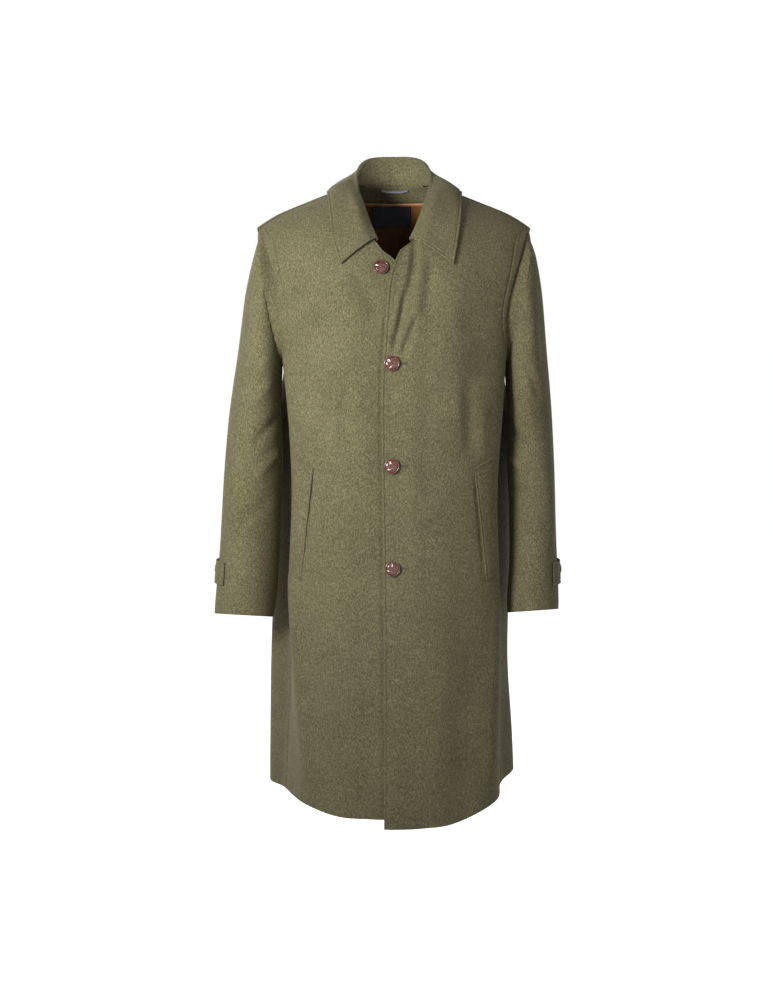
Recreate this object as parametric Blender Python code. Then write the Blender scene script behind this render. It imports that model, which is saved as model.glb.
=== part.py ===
"""Men's loden coat, worn shape with no wearer: fronts, back, sleeves, turned-over collar, welts, tabs and buttons.

Metres, +Z up. The front faces -Y and the wearer's left is +X. The origin is in the middle of the neck opening,
level with the nape, and the coat hangs down from it. Every panel is a wall laid on one body surface, which is
worked out from a short table of level sections and, above the armhole, from the slope of the shoulders.
"""

import math
from collections import namedtuple

import bpy
import numpy as np
from mathutils.kdtree import KDTree

# Cloth and seams
CLOTH = 0.0025
GAP = 0.0004
COLLAR_CLOTH = 0.0030
FACING_CLOTH = 0.0015
LINING_CLOTH = 0.001
LAP_LIFT = CLOTH + 0.0007

# Levels of the coat
HEM_Z = -1.075
UNDERARM_Z = -0.315
NECK_POINT_Z = -0.001

# Shoulders
TIP_X = 0.2335
NECK_POINT_X = 0.073
SHOULDER_SLOPE = 0.40
SHOULDER_DROP = 3.4
SHOULDER_DROP_FROM_X = 0.18
NECK_ROUNDING = 0.02
RIDGE_Y = 0.005
TIP_Z = -0.0745

# How the sleeve is tucked under the armhole's edge
TUCK_SHARE = 1.0
TUCK_DEPTH = 0.0046
MOUTH_SHARE = 0.955
MOUTH_DEPTH = 0.0032

# Fastening
BUTTON_R = 0.013
CUFF_BUTTON_R = 0.0098
BUTTON_HEIGHT = 0.0075
SHANK = 0.002

# Colours
LODEN = ("loden", (0.118, 0.108, 0.052), 0.95)
BUTTON_BROWN = ("button_brown", (0.10, 0.018, 0.012), 0.25)
SATIN_BROWN = ("satin_brown", (0.105, 0.038, 0.014), 0.4)
PIPING_TAN = ("piping_tan", (0.22, 0.075, 0.025), 0.45)
LABEL_NAVY = ("label_navy", (0.006, 0.007, 0.013), 0.6)
LOOP_GREY = ("loop_grey", (0.13, 0.13, 0.16), 0.4)

# Level sections of one half, from the hem up. The front edge of a section lies at front_y and its back at
# back_y on the centre line. The breast, fold, side, flank and blade are points between them. The fold is
# where the front turns to the side. right_in moves it inwards on the wearer's right, and right_out moves
# the flank outwards there.
Section = namedtuple(
    "Section",
    "z front_y breast_x breast_y fold_x fold_y side_x side_y flank_x flank_y blade_x blade_y back_y"
    " right_in right_out",
)
SECTIONS = (
    Section(-1.12, -0.178, 0.100, -0.168, 0.176, -0.118, 0.196, -0.012, 0.226, 0.080, 0.142, 0.184, 0.194, 0.026, 0.001),
    Section(-0.98, -0.174, 0.100, -0.165, 0.178, -0.112, 0.190, -0.012, 0.219, 0.080, 0.140, 0.176, 0.184, 0.023, 0.006),
    Section(-0.84, -0.168, 0.100, -0.160, 0.181, -0.106, 0.184, -0.014, 0.209, 0.080, 0.134, 0.165, 0.172, 0.013, 0.013),
    Section(-0.69, -0.160, 0.100, -0.152, 0.181, -0.100, 0.178, -0.014, 0.209, 0.080, 0.124, 0.150, 0.158, 0.004, 0.006),
    Section(-0.52, -0.150, 0.098, -0.143, 0.177, -0.092, 0.172, -0.010, 0.210, 0.080, 0.114, 0.136, 0.142, 0.004, 0.002),
    Section(-0.40, -0.145, 0.098, -0.138, 0.184, -0.084, 0.180, -0.006, 0.207, 0.078, 0.109, 0.128, 0.134, 0.006, 0.0),
    Section(-0.315, -0.140, 0.098, -0.134, 0.187, -0.074, 0.191, 0.000, 0.188, 0.070, 0.105, 0.123, 0.130, 0.003, 0.0),
)
POINTS_PER_HALF = 6

# How far each front reaches past the centre line, and how the tops of the fronts spread open.
FrontEdge = namedtuple("FrontEdge", "z over_x under_x")
FRONT_EDGES = (
    FrontEdge(-1.12, -0.0165, 0.0170),
    FrontEdge(-0.65, -0.0180, 0.0170),
    FrontEdge(-0.45, -0.0205, 0.0170),
    FrontEdge(-0.33, -0.0205, 0.0170),
    FrontEdge(-0.25, -0.0150, 0.0170),
    FrontEdge(-0.19, -0.0105, 0.0170),
    FrontEdge(-0.165, -0.0078, 0.0150),
    FrontEdge(-0.146, -0.0017, 0.0110),
    FrontEdge(-0.1325, 0.0030, 0.0029),
    FrontEdge(-0.1237, 0.0075, -0.0109),
    FrontEdge(-0.113, 0.0134, -0.0205),
    FrontEdge(-0.1025, 0.0285, -0.0285),
)

# The neck seam of a front, from its front end to the shoulder seam.
NeckSeam = namedtuple("NeckSeam", "z x")
NECK_SEAM = (
    NeckSeam(-0.1025, 0.0285),
    NeckSeam(-0.0885, 0.0435),
    NeckSeam(-0.0720, 0.0540),
    NeckSeam(-0.0430, 0.0630),
    NeckSeam(-0.0180, 0.0695),
    NeckSeam(NECK_POINT_Z, NECK_POINT_X),
)

# Rows of the panels above the underarm: where each starts, at the front edge, the neck seam or the centre
# of the back, and where it ends. The armhole's edge lies at end_z and the shares front_u and back_u.
ArmholeRow = namedtuple("ArmholeRow", "front_z back_z end_z front_u back_u")
ARMHOLE_ROWS = (
    ArmholeRow(-0.315, -0.315, -0.3150, 0.500, 0.500),
    ArmholeRow(-0.300, -0.303, -0.3078, 0.435, 0.556),
    ArmholeRow(-0.272, -0.278, -0.2870, 0.378, 0.606),
    ArmholeRow(-0.243, -0.249, -0.2553, 0.335, 0.643),
    ArmholeRow(-0.214, -0.217, -0.2163, 0.313, 0.662),
    ArmholeRow(-0.186, -0.184, -0.1748, 0.311, 0.662),
    ArmholeRow(-0.159, -0.151, -0.1358, 0.318, 0.655),
    ArmholeRow(-0.1325, -0.122, -0.1040, 0.330, 0.646),
    ArmholeRow(-0.115, -0.098, -0.0835, 0.344, 0.634),
    ArmholeRow(-0.1025, -0.078, TIP_Z, 0.500, 0.500),
)
ShoulderRow = namedtuple("ShoulderRow", "front_z back_z end_z")
SHOULDER_ROWS = (
    ShoulderRow(-0.1025, -0.0780, TIP_Z),
    ShoulderRow(-0.092, -0.068, -0.0655),
    ShoulderRow(-0.081, -0.056, -0.0540),
    ShoulderRow(-0.069, -0.045, -0.0430),
    ShoulderRow(-0.056, -0.0345, -0.0325),
    ShoulderRow(-0.044, -0.0250, -0.0220),
    ShoulderRow(-0.031, -0.0130, -0.0110),
    ShoulderRow(-0.018, -0.0010, NECK_POINT_Z),
)
FACING_ROWS = 3
LINING_ROWS = 7

# The hem's height round the body, from centre front to centre back, for the wearer's left and right.
HemPoint = namedtuple("HemPoint", "u left_z right_z")
HEM = (
    HemPoint(-0.12, -1.1025, -1.0850),
    HemPoint(0.0, -1.1020, -1.0860),
    HemPoint(0.16, -1.0990, -1.0855),
    HemPoint(0.33, -1.0720, -1.0785),
    HemPoint(0.50, -1.0680, -1.0775),
    HemPoint(0.65, -1.0600, -1.0800),
    HemPoint(0.80, -1.0600, -1.0700),
    HemPoint(1.0, -1.0640, -1.0640),
)
HEM_FADE = 0.30

# The collar from centre back to its front end. base_deg says where it is sewn on: 0 is the nape, 90 the
# shoulder seam and 180 the end of the neck seam. The roll is its folded line. The leaf's edge rests on the
# body near edge_x, edge_y, edge_z, and the leaf swells out by bulge on the way there.
Collar = namedtuple(
    "Collar", "station base_deg roll_x roll_y roll_z edge_left_x edge_right_x edge_y edge_z bulge"
)
COLLAR = (
    Collar(0.00, 0, 0.0000, 0.0660, 0.0510, 0.0000, 0.0000, 0.082, -0.0190, 0.003),
    Collar(0.14, 26, 0.0365, 0.0590, 0.0490, 0.0465, 0.0465, 0.078, -0.0195, 0.004),
    Collar(0.28, 52, 0.0565, 0.0430, 0.0390, 0.0860, 0.0860, 0.062, -0.0190, 0.006),
    Collar(0.42, 74, 0.0645, 0.0200, 0.0190, 0.1120, 0.1120, 0.030, -0.0170, 0.009),
    Collar(0.50, 86, 0.0640, 0.0020, 0.0050, 0.1160, 0.1135, 0.005, -0.0170, 0.009),
    Collar(0.58, 98, 0.0605, -0.0190, -0.0120, 0.1175, 0.1135, -0.022, -0.0220, 0.008),
    Collar(0.70, 121, 0.0520, -0.0430, -0.0370, 0.1165, 0.1100, -0.060, -0.0500, 0.006),
    Collar(0.85, 146, 0.0400, -0.0660, -0.0700, 0.1095, 0.1040, -0.088, -0.0950, 0.005),
    Collar(1.00, 168, 0.0275, -0.0855, -0.0960, 0.1010, 0.0905, -0.110, -0.1400, 0.004),
)
ROLL_RADIUS = 0.0035

# The sleeve from the shoulder down: its outer line, its inner line, its middle, half depth, how far its
# front is lifted by the bend of the arm, and how much lower the sleeve on the wearer's right hangs.
SleeveRow = namedtuple(
    "SleeveRow",
    "outer_left_x outer_right_x outer_z inner_left_x inner_right_x inner_z mid_y half_depth front_lift right_drop",
)
SLEEVE = (
    SleeveRow(0.2400, 0.2375, -0.100, 0.1960, 0.1960, -0.316, -0.001, 0.0680, 0.000, 0.000),
    SleeveRow(0.2490, 0.2450, -0.124, 0.1990, 0.1985, -0.338, -0.001, 0.0720, 0.000, 0.000),
    SleeveRow(0.2605, 0.2600, -0.190, 0.2025, 0.2005, -0.374, 0.000, 0.0740, 0.000, 0.000),
    SleeveRow(0.2695, 0.2735, -0.290, 0.2040, 0.2010, -0.420, 0.000, 0.0720, 0.000, 0.000),
    SleeveRow(0.2785, 0.2895, -0.400, 0.2045, 0.2005, -0.470, -0.003, 0.0670, 0.002, 0.001),
    SleeveRow(0.2855, 0.3015, -0.520, 0.2090, 0.2035, -0.550, -0.014, 0.0610, 0.006, 0.003),
    SleeveRow(0.2885, 0.3075, -0.630, 0.2095, 0.2060, -0.640, -0.031, 0.0560, 0.010, 0.005),
    SleeveRow(0.2905, 0.3120, -0.690, 0.2060, 0.2085, -0.696, -0.040, 0.0540, 0.010, 0.007),
    SleeveRow(0.2910, 0.3160, -0.742, 0.2010, 0.2120, -0.748, -0.047, 0.0530, 0.010, 0.008),
)
SLEEVE_COLUMNS = 2 * (len(ARMHOLE_ROWS) - 1)

# The cuff tab, by angle round the sleeve from its outer line, positive to the front.
TAB_FROM_DEG = 46
TAB_TO_DEG = -98
TAB_BUTTON_DEG = -24
TAB_TOP_Z = -0.655
TAB_WIDTH = 0.040
TAB_STANDS_OFF = 0.0015

# Slanted pocket welts, by distance from the middle and height
WELT_TOP_X, WELT_TOP_Z = 0.137, -0.484
WELT_BOTTOM_X, WELT_BOTTOM_Z = 0.159, -0.678
WELT_WIDTH = 0.034
WELT_RISE = 0.014
WELT_CLOTH = 0.002
WELT_LIFT = 0.0019

# Label and hanger loop inside the back neck
LABEL_WIDTH, LABEL_HEIGHT = 0.072, 0.039
LABEL_X, LABEL_TOP_Z = -0.004, -0.0320
LOOP_X, LOOP_WIDTH, LOOP_SAG, LOOP_R = 0.0025, 0.050, 0.0035, 0.0014

# Front buttons from the top, by distance from the middle and height
BUTTONS = ((-0.0225, -0.145), (-0.0035, -0.3055), (-0.0035, -0.4806), (-0.0022, -0.6544))

FRONT_COLUMNS = 15
BACK_COLUMNS = 11
SKIRT_ROWS = 13
COLLAR_STATIONS = (0.0, 0.10, 0.19, 0.28, 0.36, 0.43, 0.48, 0.515, 0.55, 0.61, 0.69, 0.77, 0.85, 0.93, 1.0)


def clear_scene():
    for obj in list(bpy.data.objects):
        bpy.data.objects.remove(obj)


def material(look):
    name, colour, roughness = look
    found = bpy.data.materials.get(name)
    if found:
        return found
    made = bpy.data.materials.new(name)
    made.use_nodes = True
    shader = made.node_tree.nodes["Principled BSDF"]
    shader.inputs["Base Color"].default_value = (*colour, 1.0)
    shader.inputs["Roughness"].default_value = roughness
    shader.inputs["Metallic"].default_value = 0.0
    return made


def smooth_step(t):
    t = np.clip(t, 0.0, 1.0)
    return t * t * (3 - 2 * t)


def along(table, key, name, at):
    """A column of a table read at a value of its key column, on a smooth curve through the rows."""
    keys = np.array([getattr(row, key) for row in table])
    values = np.array([getattr(row, name) for row in table])
    slopes = np.gradient(values, keys)
    at = np.clip(at, keys[0], keys[-1])
    i = np.clip(np.searchsorted(keys, at, side="right") - 1, 0, len(keys) - 2)
    step = keys[i + 1] - keys[i]
    t = (at - keys[i]) / step
    h00, h10 = (1 + 2 * t) * (1 - t) ** 2, t * (1 - t) ** 2
    h01, h11 = t * t * (3 - 2 * t), t * t * (t - 1)
    return h00 * values[i] + h10 * step * slopes[i] + h01 * values[i + 1] + h11 * step * slopes[i + 1]


def curve_point(a, b, c, d, t):
    """A point between b and c on a smooth curve through four points."""
    return 0.5 * (2 * b + (c - a) * t + (2 * a - 5 * b + 4 * c - d) * t**2 + (3 * b - 3 * c + d - a) * t**3)


def unit(vectors):
    return vectors / np.maximum(np.linalg.norm(vectors, axis=-1, keepdims=True), 1e-12)


# The body surface, by the share u of the way round from centre front to centre back, and by height z.
# u is negative on the wearer's right.

def section_points(z, right):
    """The seven points of half a level section, from centre front to centre back."""
    def at(name):
        return along(SECTIONS, "z", name, z)
    fold_in, flank_out = (at("right_in"), at("right_out")) if right else (0.0, 0.0)
    return np.array([
        (0.0, at("front_y")),
        (at("breast_x") - 0.4 * fold_in, at("breast_y")),
        (at("fold_x") - fold_in, at("fold_y")),
        (at("side_x"), at("side_y")),
        (at("flank_x") + flank_out, at("flank_y")),
        (at("blade_x"), at("blade_y")),
        (0.0, at("back_y")),
    ])


def level_section(u, z):
    """Points (x, y) of the level section at height z."""
    xy = np.zeros((len(u), 2))
    for right in (False, True):
        chosen = (u < 0) == right
        if not chosen.any():
            continue
        ring = section_points(z, right)
        ring = np.vstack([ring[1] * (-1, 1), ring, ring[-2] * (-1, 1)])
        s = np.abs(u[chosen]) * POINTS_PER_HALF
        k = np.clip(s.astype(int), 0, POINTS_PER_HALF - 1)
        points = curve_point(ring[k], ring[k + 1], ring[k + 2], ring[k + 3], (s - k)[:, None])
        points[:, 0] *= -1 if right else 1
        xy[chosen] = points
    return xy


def ridge_z(x):
    """Height of the shoulder's ridge at a distance from the middle."""
    run = np.sqrt(x * x + NECK_ROUNDING**2) - math.hypot(NECK_POINT_X, NECK_ROUNDING)
    drop = SHOULDER_DROP * np.clip(np.abs(x) - SHOULDER_DROP_FROM_X, 0, None) ** 2
    return NECK_POINT_Z - SHOULDER_SLOPE * run - drop


RIDGE_XS = np.linspace(0.0, 0.3, 600)
RIDGE_ZS = ridge_z(RIDGE_XS)


def ridge_height(x):
    return np.interp(np.abs(x), RIDGE_XS, RIDGE_ZS)


def ridge_reach(z):
    return np.interp(-z, -RIDGE_ZS, RIDGE_XS)


def spread_at(z):
    """How much wider than the chest section the body is at a height above the underarm."""
    side = along(SECTIONS, "z", "side_x", UNDERARM_Z)
    rising = 1 + (TIP_X / side - 1) * smooth_step((z - UNDERARM_Z) / (TIP_Z - UNDERARM_Z))
    return np.where(z < TIP_Z, rising, ridge_reach(z) / side)


def body(u, z):
    """Points on the body's outer surface."""
    u, z = np.broadcast_arrays(np.asarray(u, float), np.asarray(z, float))
    flat_u, flat_z = u.ravel(), z.ravel()
    out = np.zeros((len(flat_u), 3))
    out[:, 2] = flat_z
    low = flat_z <= UNDERARM_Z
    for level in np.unique(flat_z[low]):
        chosen = low & (flat_z == level)
        out[chosen, :2] = level_section(flat_u[chosen], level)
    high = ~low
    if high.any():
        xy = level_section(flat_u[high], UNDERARM_Z)
        zh = flat_z[high]
        x = xy[:, 0] * spread_at(zh)
        near_middle = np.exp(-((x / 0.06) ** 2))
        in_front = np.abs(flat_u[high]) < 0.5
        power = np.where(in_front, 1.8 - 0.25 * near_middle, 2.1 + 0.5 * near_middle)
        t = np.clip((zh - UNDERARM_Z) / (ridge_height(x) - UNDERARM_Z), 0, 1)
        share = (1 - t**power) ** (1 / power)
        out[high, 0] = x
        out[high, 1] = RIDGE_Y + (xy[:, 1] - RIDGE_Y) * share
    return out.reshape(*u.shape, 3)


def body_normal(u, z):
    """Outward unit normals of the body's surface. On the shoulder seam it is the ridge's own normal."""
    u, z = np.broadcast_arrays(np.asarray(u, float), np.asarray(z, float))
    dz = 1e-4
    z = np.where(z >= TIP_Z, z - 1.5 * dz, z)
    du = np.where(np.abs(np.abs(u) - 0.5) < 1e-6, 1e-3, np.minimum(1e-3, np.abs(np.abs(u) - 0.5)))
    across = body(u + du, z) - body(u - du, z)
    up = body(u, z + dz) - body(u, z - dz)
    normal = unit(np.cross(across, up))
    x = body(u, z)[..., 0]
    slope = (ridge_height(np.abs(x) + 1e-3) - ridge_height(np.abs(x) - 1e-3)) / 2e-3
    on_ridge = (np.abs(np.abs(u) - 0.5) < 1e-6) & (z > TIP_Z - 3 * dz)
    ridge_normal = unit(np.stack([-slope * np.sign(x), np.zeros_like(x), np.ones_like(x)], axis=-1))
    return np.where(on_ridge[..., None], ridge_normal, normal)


def u_at_x(x, z, back=False):
    """The share round the body where its section at height z has the distance x from the middle."""
    us = np.linspace(0.0, 0.5, 260)
    us = 1 - us if back else us
    side = 1.0 if x >= 0 else -1.0
    xs = np.maximum.accumulate(body(us * side, np.full(len(us), z))[:, 0] * side)
    return side * float(np.interp(abs(x), xs, us))


def body_samples():
    """Points all over the body with their normals, to find what lies nearest to a given point."""
    us = np.linspace(-1, 1, 401)
    zs = np.concatenate([np.linspace(-0.36, TIP_Z - 0.002, 90), np.linspace(TIP_Z, -0.0005, 60)])
    u, z = np.meshgrid(us, zs)
    neck = along(NECK_SEAM, "z", "x", np.clip(z, NECK_SEAM[0].z, None))
    in_neck = (np.abs(u) < 0.5) & (z > NECK_SEAM[0].z) & (np.abs(body(u, z)[..., 0]) < neck)
    keep = (np.abs(np.abs(u) - 0.5) > 0.004) & ~in_neck
    u, z = u[keep], z[keep]
    points, normals = body(u, z), body_normal(u, z)
    tree = KDTree(len(points))
    for i, point in enumerate(points):
        tree.insert(point, i)
    tree.balance()
    return points, normals, tree


def kept_off(samples, point, clear, snap=False):
    """The point, moved out along the body's normal where it is nearer than clear, or moved in too to snap."""
    points, normals, tree = samples
    _, i, _ = tree.find(point)
    height = float(np.dot(point - points[i], normals[i]))
    beside = np.linalg.norm(point - points[i] - normals[i] * height)
    if snap:
        return point + normals[i] * (clear - height)
    return point + normals[i] * max(0.0, clear - height) * float(smooth_step((0.012 - beside) / 0.006))


# Panels are grids of points with the normals of the body there.

Panel = namedtuple("Panel", "points normals")


def front_edge_x(z, over):
    return float(along(FRONT_EDGES, "z", "over_x" if over else "under_x", z))


def hem_height(u, z):
    """Height of a level row's point, bent to the hem's line near the bottom."""
    line = np.where(u >= 0, along(HEM, "u", "left_z", u), along(HEM, "u", "right_z", -u))
    return z + (line - HEM_Z) * smooth_step(1 - (z - HEM_Z) / HEM_FADE)


def hem_height_lap(u, z, over):
    """The same for a front, whose edge keeps its own height past the centre line."""
    sign = 1 if over else -1
    line = along(HEM, "u", "left_z" if over else "right_z", u * sign)
    return z + (line - HEM_Z) * smooth_step(1 - (z - HEM_Z) / HEM_FADE)


def spaced(points, count, trim):
    """Positions along a dense line of points that split it into even steps, short of its end by trim."""
    run = np.concatenate([[0], np.cumsum(np.linalg.norm(np.diff(points, axis=0), axis=1))])
    return np.interp(np.linspace(0, run[-1] - trim, count), run, np.linspace(0, 1, len(points)))


def girth_row(start_u, end_u, start_z, end_z, count, bend=None):
    """(u, z) of a row round the body, its height going evenly from start_z to end_z."""
    def line(q):
        u = start_u + (end_u - start_u) * q
        z = start_z + (end_z - start_z) * q
        return u, (bend(u, z) if bend else z)
    q = np.linspace(0, 1, 200)
    u, z = line(q)
    at = spaced(body(u, z), count, GAP / 2)
    return line(at)


def shoulder_row(start, end, count, back):
    """(u, z) of a row that is straight as seen from the front, from (x, z) start to end on the ridge."""
    side = 1 if end[0] > 0 else -1
    q = np.sin(np.linspace(0, 1, 240) * math.pi / 2)
    x = start[0] + (end[0] - start[0]) * q
    z = start[1] + (end[1] - start[1]) * q
    u = side * np.array([abs(u_at_x(a, b, back)) for a, b in zip(np.abs(x), z)])
    u[-1] = side * 0.5
    return u, z


def shoulder_panel_row(start, end, count, back):
    u, z = shoulder_row(start, end, count, back)
    at = spaced(body(u, z), count, 0.0)
    share = np.linspace(0, 1, len(u))
    return np.interp(at, share, u), np.interp(at, share, z)


def trimmed_end(points):
    """The row pulled back from the seam at its end by half a seam's gap."""
    points[-1] = points[-1] + unit(points[-2] - points[-1]) * GAP / 2
    return points


def front_panel(over, columns=FRONT_COLUMNS):
    side = 1 if over else -1
    rows = []

    def add(u, z, trim=False):
        points, normals = body(u, z), body_normal(u, z)
        if trim:
            points = trimmed_end(points)
        rows.append((points, normals))

    for z in np.linspace(HEM_Z, UNDERARM_Z, SKIRT_ROWS):
        start = u_at_x(front_edge_x(z, over), z)
        u, zs = girth_row(start, side * 0.5, z, z, columns, lambda a, b: hem_height_lap(a, b, over))
        add(u, zs)
    for row in ARMHOLE_ROWS[1:-1]:
        start = u_at_x(front_edge_x(row.front_z, over), row.front_z)
        add(*girth_row(start, side * row.front_u, row.front_z, row.end_z, columns))
    for row in SHOULDER_ROWS:
        start = (side * float(along(NECK_SEAM, "z", "x", row.front_z)), row.front_z)
        end = (side * float(ridge_reach(row.end_z)), row.end_z)
        u, zs = shoulder_panel_row(start, end, columns, back=False)
        add(u, zs, trim=True)
    points = np.array([r[0] for r in rows])
    normals = np.array([r[1] for r in rows])
    if over:
        fade = 1 - smooth_step((points[..., 0] - 0.028) / 0.035)
        fade = fade * smooth_step((NECK_SEAM[0].z - points[..., 2]) / 0.030)
        points = points + normals * (LAP_LIFT * fade)[..., None]
    else:
        points, normals = points[:, ::-1], normals[:, ::-1]
    return Panel(points, normals)


def back_panel(columns=BACK_COLUMNS):
    rows = []

    def add(left, right, trim=False):
        halves = []
        for u, z in (left, right):
            points, normals = body(u, z), body_normal(u, z)
            if trim:
                points = trimmed_end(points)
            halves.append((points, normals))
        points = np.concatenate([halves[0][0][::-1], halves[1][0][1:]])
        normals = np.concatenate([halves[0][1][::-1], halves[1][1][1:]])
        rows.append((points, normals))

    for z in np.linspace(HEM_Z, UNDERARM_Z, SKIRT_ROWS):
        add(*(girth_row(side, side * 0.5, z, z, columns, hem_height) for side in (1.0, -1.0)))
    for row in ARMHOLE_ROWS[1:-1]:
        add(*(girth_row(side, side * row.back_u, row.back_z, row.end_z, columns) for side in (1.0, -1.0)))
    for row in SHOULDER_ROWS:
        reach = float(ridge_reach(row.end_z))
        halves = [
            shoulder_panel_row((0.0, row.back_z), (side * reach, row.end_z), columns, back=True)
            for side in (1, -1)
        ]
        add(*halves, trim=True)
    return Panel(np.array([r[0] for r in rows]), np.array([r[1] for r in rows]))


def on_panel(panel, row, column):
    """The point and normal of a panel at a row and column that may lie between its own."""
    rows, columns = panel.points.shape[:2]
    r, c = min(int(row), rows - 2), min(int(column), columns - 2)
    a, b = row - r, column - c
    def mix(grid):
        low = grid[r, c] * (1 - b) + grid[r, c + 1] * b
        high = grid[r + 1, c] * (1 - b) + grid[r + 1, c + 1] * b
        return low * (1 - a) + high * a
    return mix(panel.points), unit(mix(panel.normals))


def place_on(panel, x, z, rows):
    """Row and column of a panel at a distance from the middle and a height, between two of its rows."""
    best = None
    for row in np.linspace(rows[0], rows[1], 12 * (rows[1] - rows[0]) + 1):
        r = min(int(row), panel.points.shape[0] - 2)
        line = panel.points[r] * (1 - row + r) + panel.points[r + 1] * (row - r)
        order = np.argsort(line[:, 0])
        column = float(np.interp(x, line[order, 0], order))
        point, _ = on_panel(panel, row, column)
        miss = abs(point[2] - z)
        if best is None or miss < best[0]:
            best = (miss, row, column)
    return best[1], best[2]


# Walls and other solids

def add_object(name, verts, faces, look, sharp_deg=50):
    mesh = bpy.data.meshes.new(name)
    mesh.from_pydata([tuple(v) for v in verts], [], faces)
    mesh.update()
    corners = np.array(verts)
    volume = 0.0
    for face in faces:
        for i in range(1, len(face) - 1):
            volume += np.dot(corners[face[0]], np.cross(corners[face[i]], corners[face[i + 1]]))
    if volume < 0:
        mesh.flip_normals()
    mesh.shade_smooth()
    mesh.set_sharp_from_angle(angle=math.radians(sharp_deg))
    mesh.materials.append(material(look))
    obj = bpy.data.objects.new(name, mesh)
    bpy.context.scene.collection.objects.link(obj)
    return obj


def wall(name, outer, inner, look, closed=False):
    """A closed wall between two grids of points. A closed grid joins its last column to its first."""
    rows, columns = outer.shape[:2]
    verts = np.concatenate([outer.reshape(-1, 3), inner.reshape(-1, 3)])
    back = rows * columns
    spans = columns if closed else columns - 1
    faces = []
    for r in range(rows - 1):
        for c in range(spans):
            a, b = r * columns + c, r * columns + (c + 1) % columns
            d, e = a + columns, b + columns
            faces.append((a, b, e, d))
            faces.append((a + back, d + back, e + back, b + back))
    for c in range(spans):
        n = (c + 1) % columns
        faces.append((n, c, c + back, n + back))
        top = (rows - 1) * columns
        faces.append((top + c, top + n, top + n + back, top + c + back))
    if not closed:
        for r in range(rows - 1):
            a, d = r * columns, (r + 1) * columns
            faces.append((a, d, d + back, a + back))
            a, d = a + columns - 1, d + columns - 1
            faces.append((d, a, a + back, d + back))
    return add_object(name, verts, faces, look)


def panel_wall(name, panel, thickness, look, depth=0.0):
    """A wall whose outer face lies a depth behind the panel's points."""
    outer = panel.points - panel.normals * depth
    return wall(name, outer, outer - panel.normals * thickness, look)


def grid_normals(grid, closed=False):
    if closed:
        grid = np.concatenate([grid[:, -1:], grid, grid[:, :1]], axis=1)
    normal = unit(np.cross(np.gradient(grid, axis=1), np.gradient(grid, axis=0)))
    return normal[:, 1:-1] if closed else normal


def tube(name, points, radius, look, sides=8):
    """A cord along a line of points, closed at both ends."""
    points = np.array(points)
    tangents = unit(np.gradient(points, axis=0))
    verts, faces = [], []
    for point, tangent in zip(points, tangents):
        across = unit(np.cross(tangent, (0.0, 0.0, 1.0)))
        up = np.cross(across, tangent)
        for k in range(sides):
            angle = 2 * math.pi * k / sides
            verts.append(point + (across * math.cos(angle) + up * math.sin(angle)) * radius)
    for i in range(len(points) - 1):
        for k in range(sides):
            n = (k + 1) % sides
            faces.append((i * sides + k, i * sides + n, (i + 1) * sides + n, (i + 1) * sides + k))
    faces.append(tuple(range(sides))[::-1])
    faces.append(tuple((len(points) - 1) * sides + k for k in range(sides)))
    return add_object(name, verts, faces, look)


def button(name, at, normal, radius, height=BUTTON_HEIGHT, sides=20):
    """A domed shank button, standing on the cloth along its normal."""
    profile = (
        (radius * 0.30, 0.0), (radius * 0.30, SHANK), (radius * 0.86, SHANK + 0.0003),
        (radius, SHANK + 0.0018), (radius * 0.97, height * 0.62), (radius * 0.80, height * 0.83),
        (radius * 0.45, height * 0.97),
    )
    axis = unit(np.array(normal))
    across = unit(np.cross((0.0, 0.0, 1.0), axis))
    up = np.cross(axis, across)
    verts = []
    for r, h in profile:
        for k in range(sides):
            angle = 2 * math.pi * k / sides
            verts.append(at + (across * math.cos(angle) + up * math.sin(angle)) * r + axis * h)
    base, top = len(verts), len(verts) + 1
    verts += [at, at + axis * height]
    last = (len(profile) - 1) * sides
    faces = []
    for k in range(sides):
        n = (k + 1) % sides
        faces.append((base, n, k))
        for r in range(len(profile) - 1):
            faces.append((r * sides + k, r * sides + n, (r + 1) * sides + n, (r + 1) * sides + k))
        faces.append((last + k, last + n, top))
    return add_object(name, verts, faces, BUTTON_BROWN)


# Sleeves

def sleeve_ring(row, side, count=SLEEVE_COLUMNS):
    """A ring of the sleeve, from its outer line over the front. The row may lie between the table's rows."""
    low = int(min(max(math.floor(row), 0), len(SLEEVE) - 2))
    t = row - low
    before, after = SLEEVE[max(low - 1, 0)], SLEEVE[min(low + 2, len(SLEEVE) - 1)]
    def at(name):
        values = [getattr(r, name) for r in (before, SLEEVE[low], SLEEVE[low + 1], after)]
        return curve_point(*values, t)
    which = "left" if side > 0 else "right"
    outer = np.array([at(f"outer_{which}_x"), at("mid_y"), at("outer_z")])
    inner = np.array([at(f"inner_{which}_x"), at("mid_y"), at("inner_z")])
    centre, reach = (outer + inner) / 2, (outer - inner) / 2
    angles = np.arange(count) * 2 * math.pi / count
    ring = centre + np.outer(np.cos(angles), reach)
    ring[:, 1] -= at("half_depth") * np.sin(angles)
    ring[:, 2] += at("front_lift") * np.sin(angles) - (0.0 if side > 0 else at("right_drop"))
    ring[:, 0] *= side
    return ring


def armhole_ring(share, depth, side):
    """A ring under the armhole's edge, on the body moved in by depth. It has a sleeve ring's columns."""
    u, z = [], []
    middle = (UNDERARM_Z + TIP_Z) / 2
    edge = [(row.front_u, row.end_z) for row in ARMHOLE_ROWS[::-1]]
    edge += [(row.back_u, row.end_z) for row in ARMHOLE_ROWS[1:-1]]
    for edge_u, edge_z in edge:
        u.append(side * (0.5 + (edge_u - 0.5) * share))
        z.append(middle + (edge_z - middle) * share)
    return body(u, z) - body_normal(u, z) * depth


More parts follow.
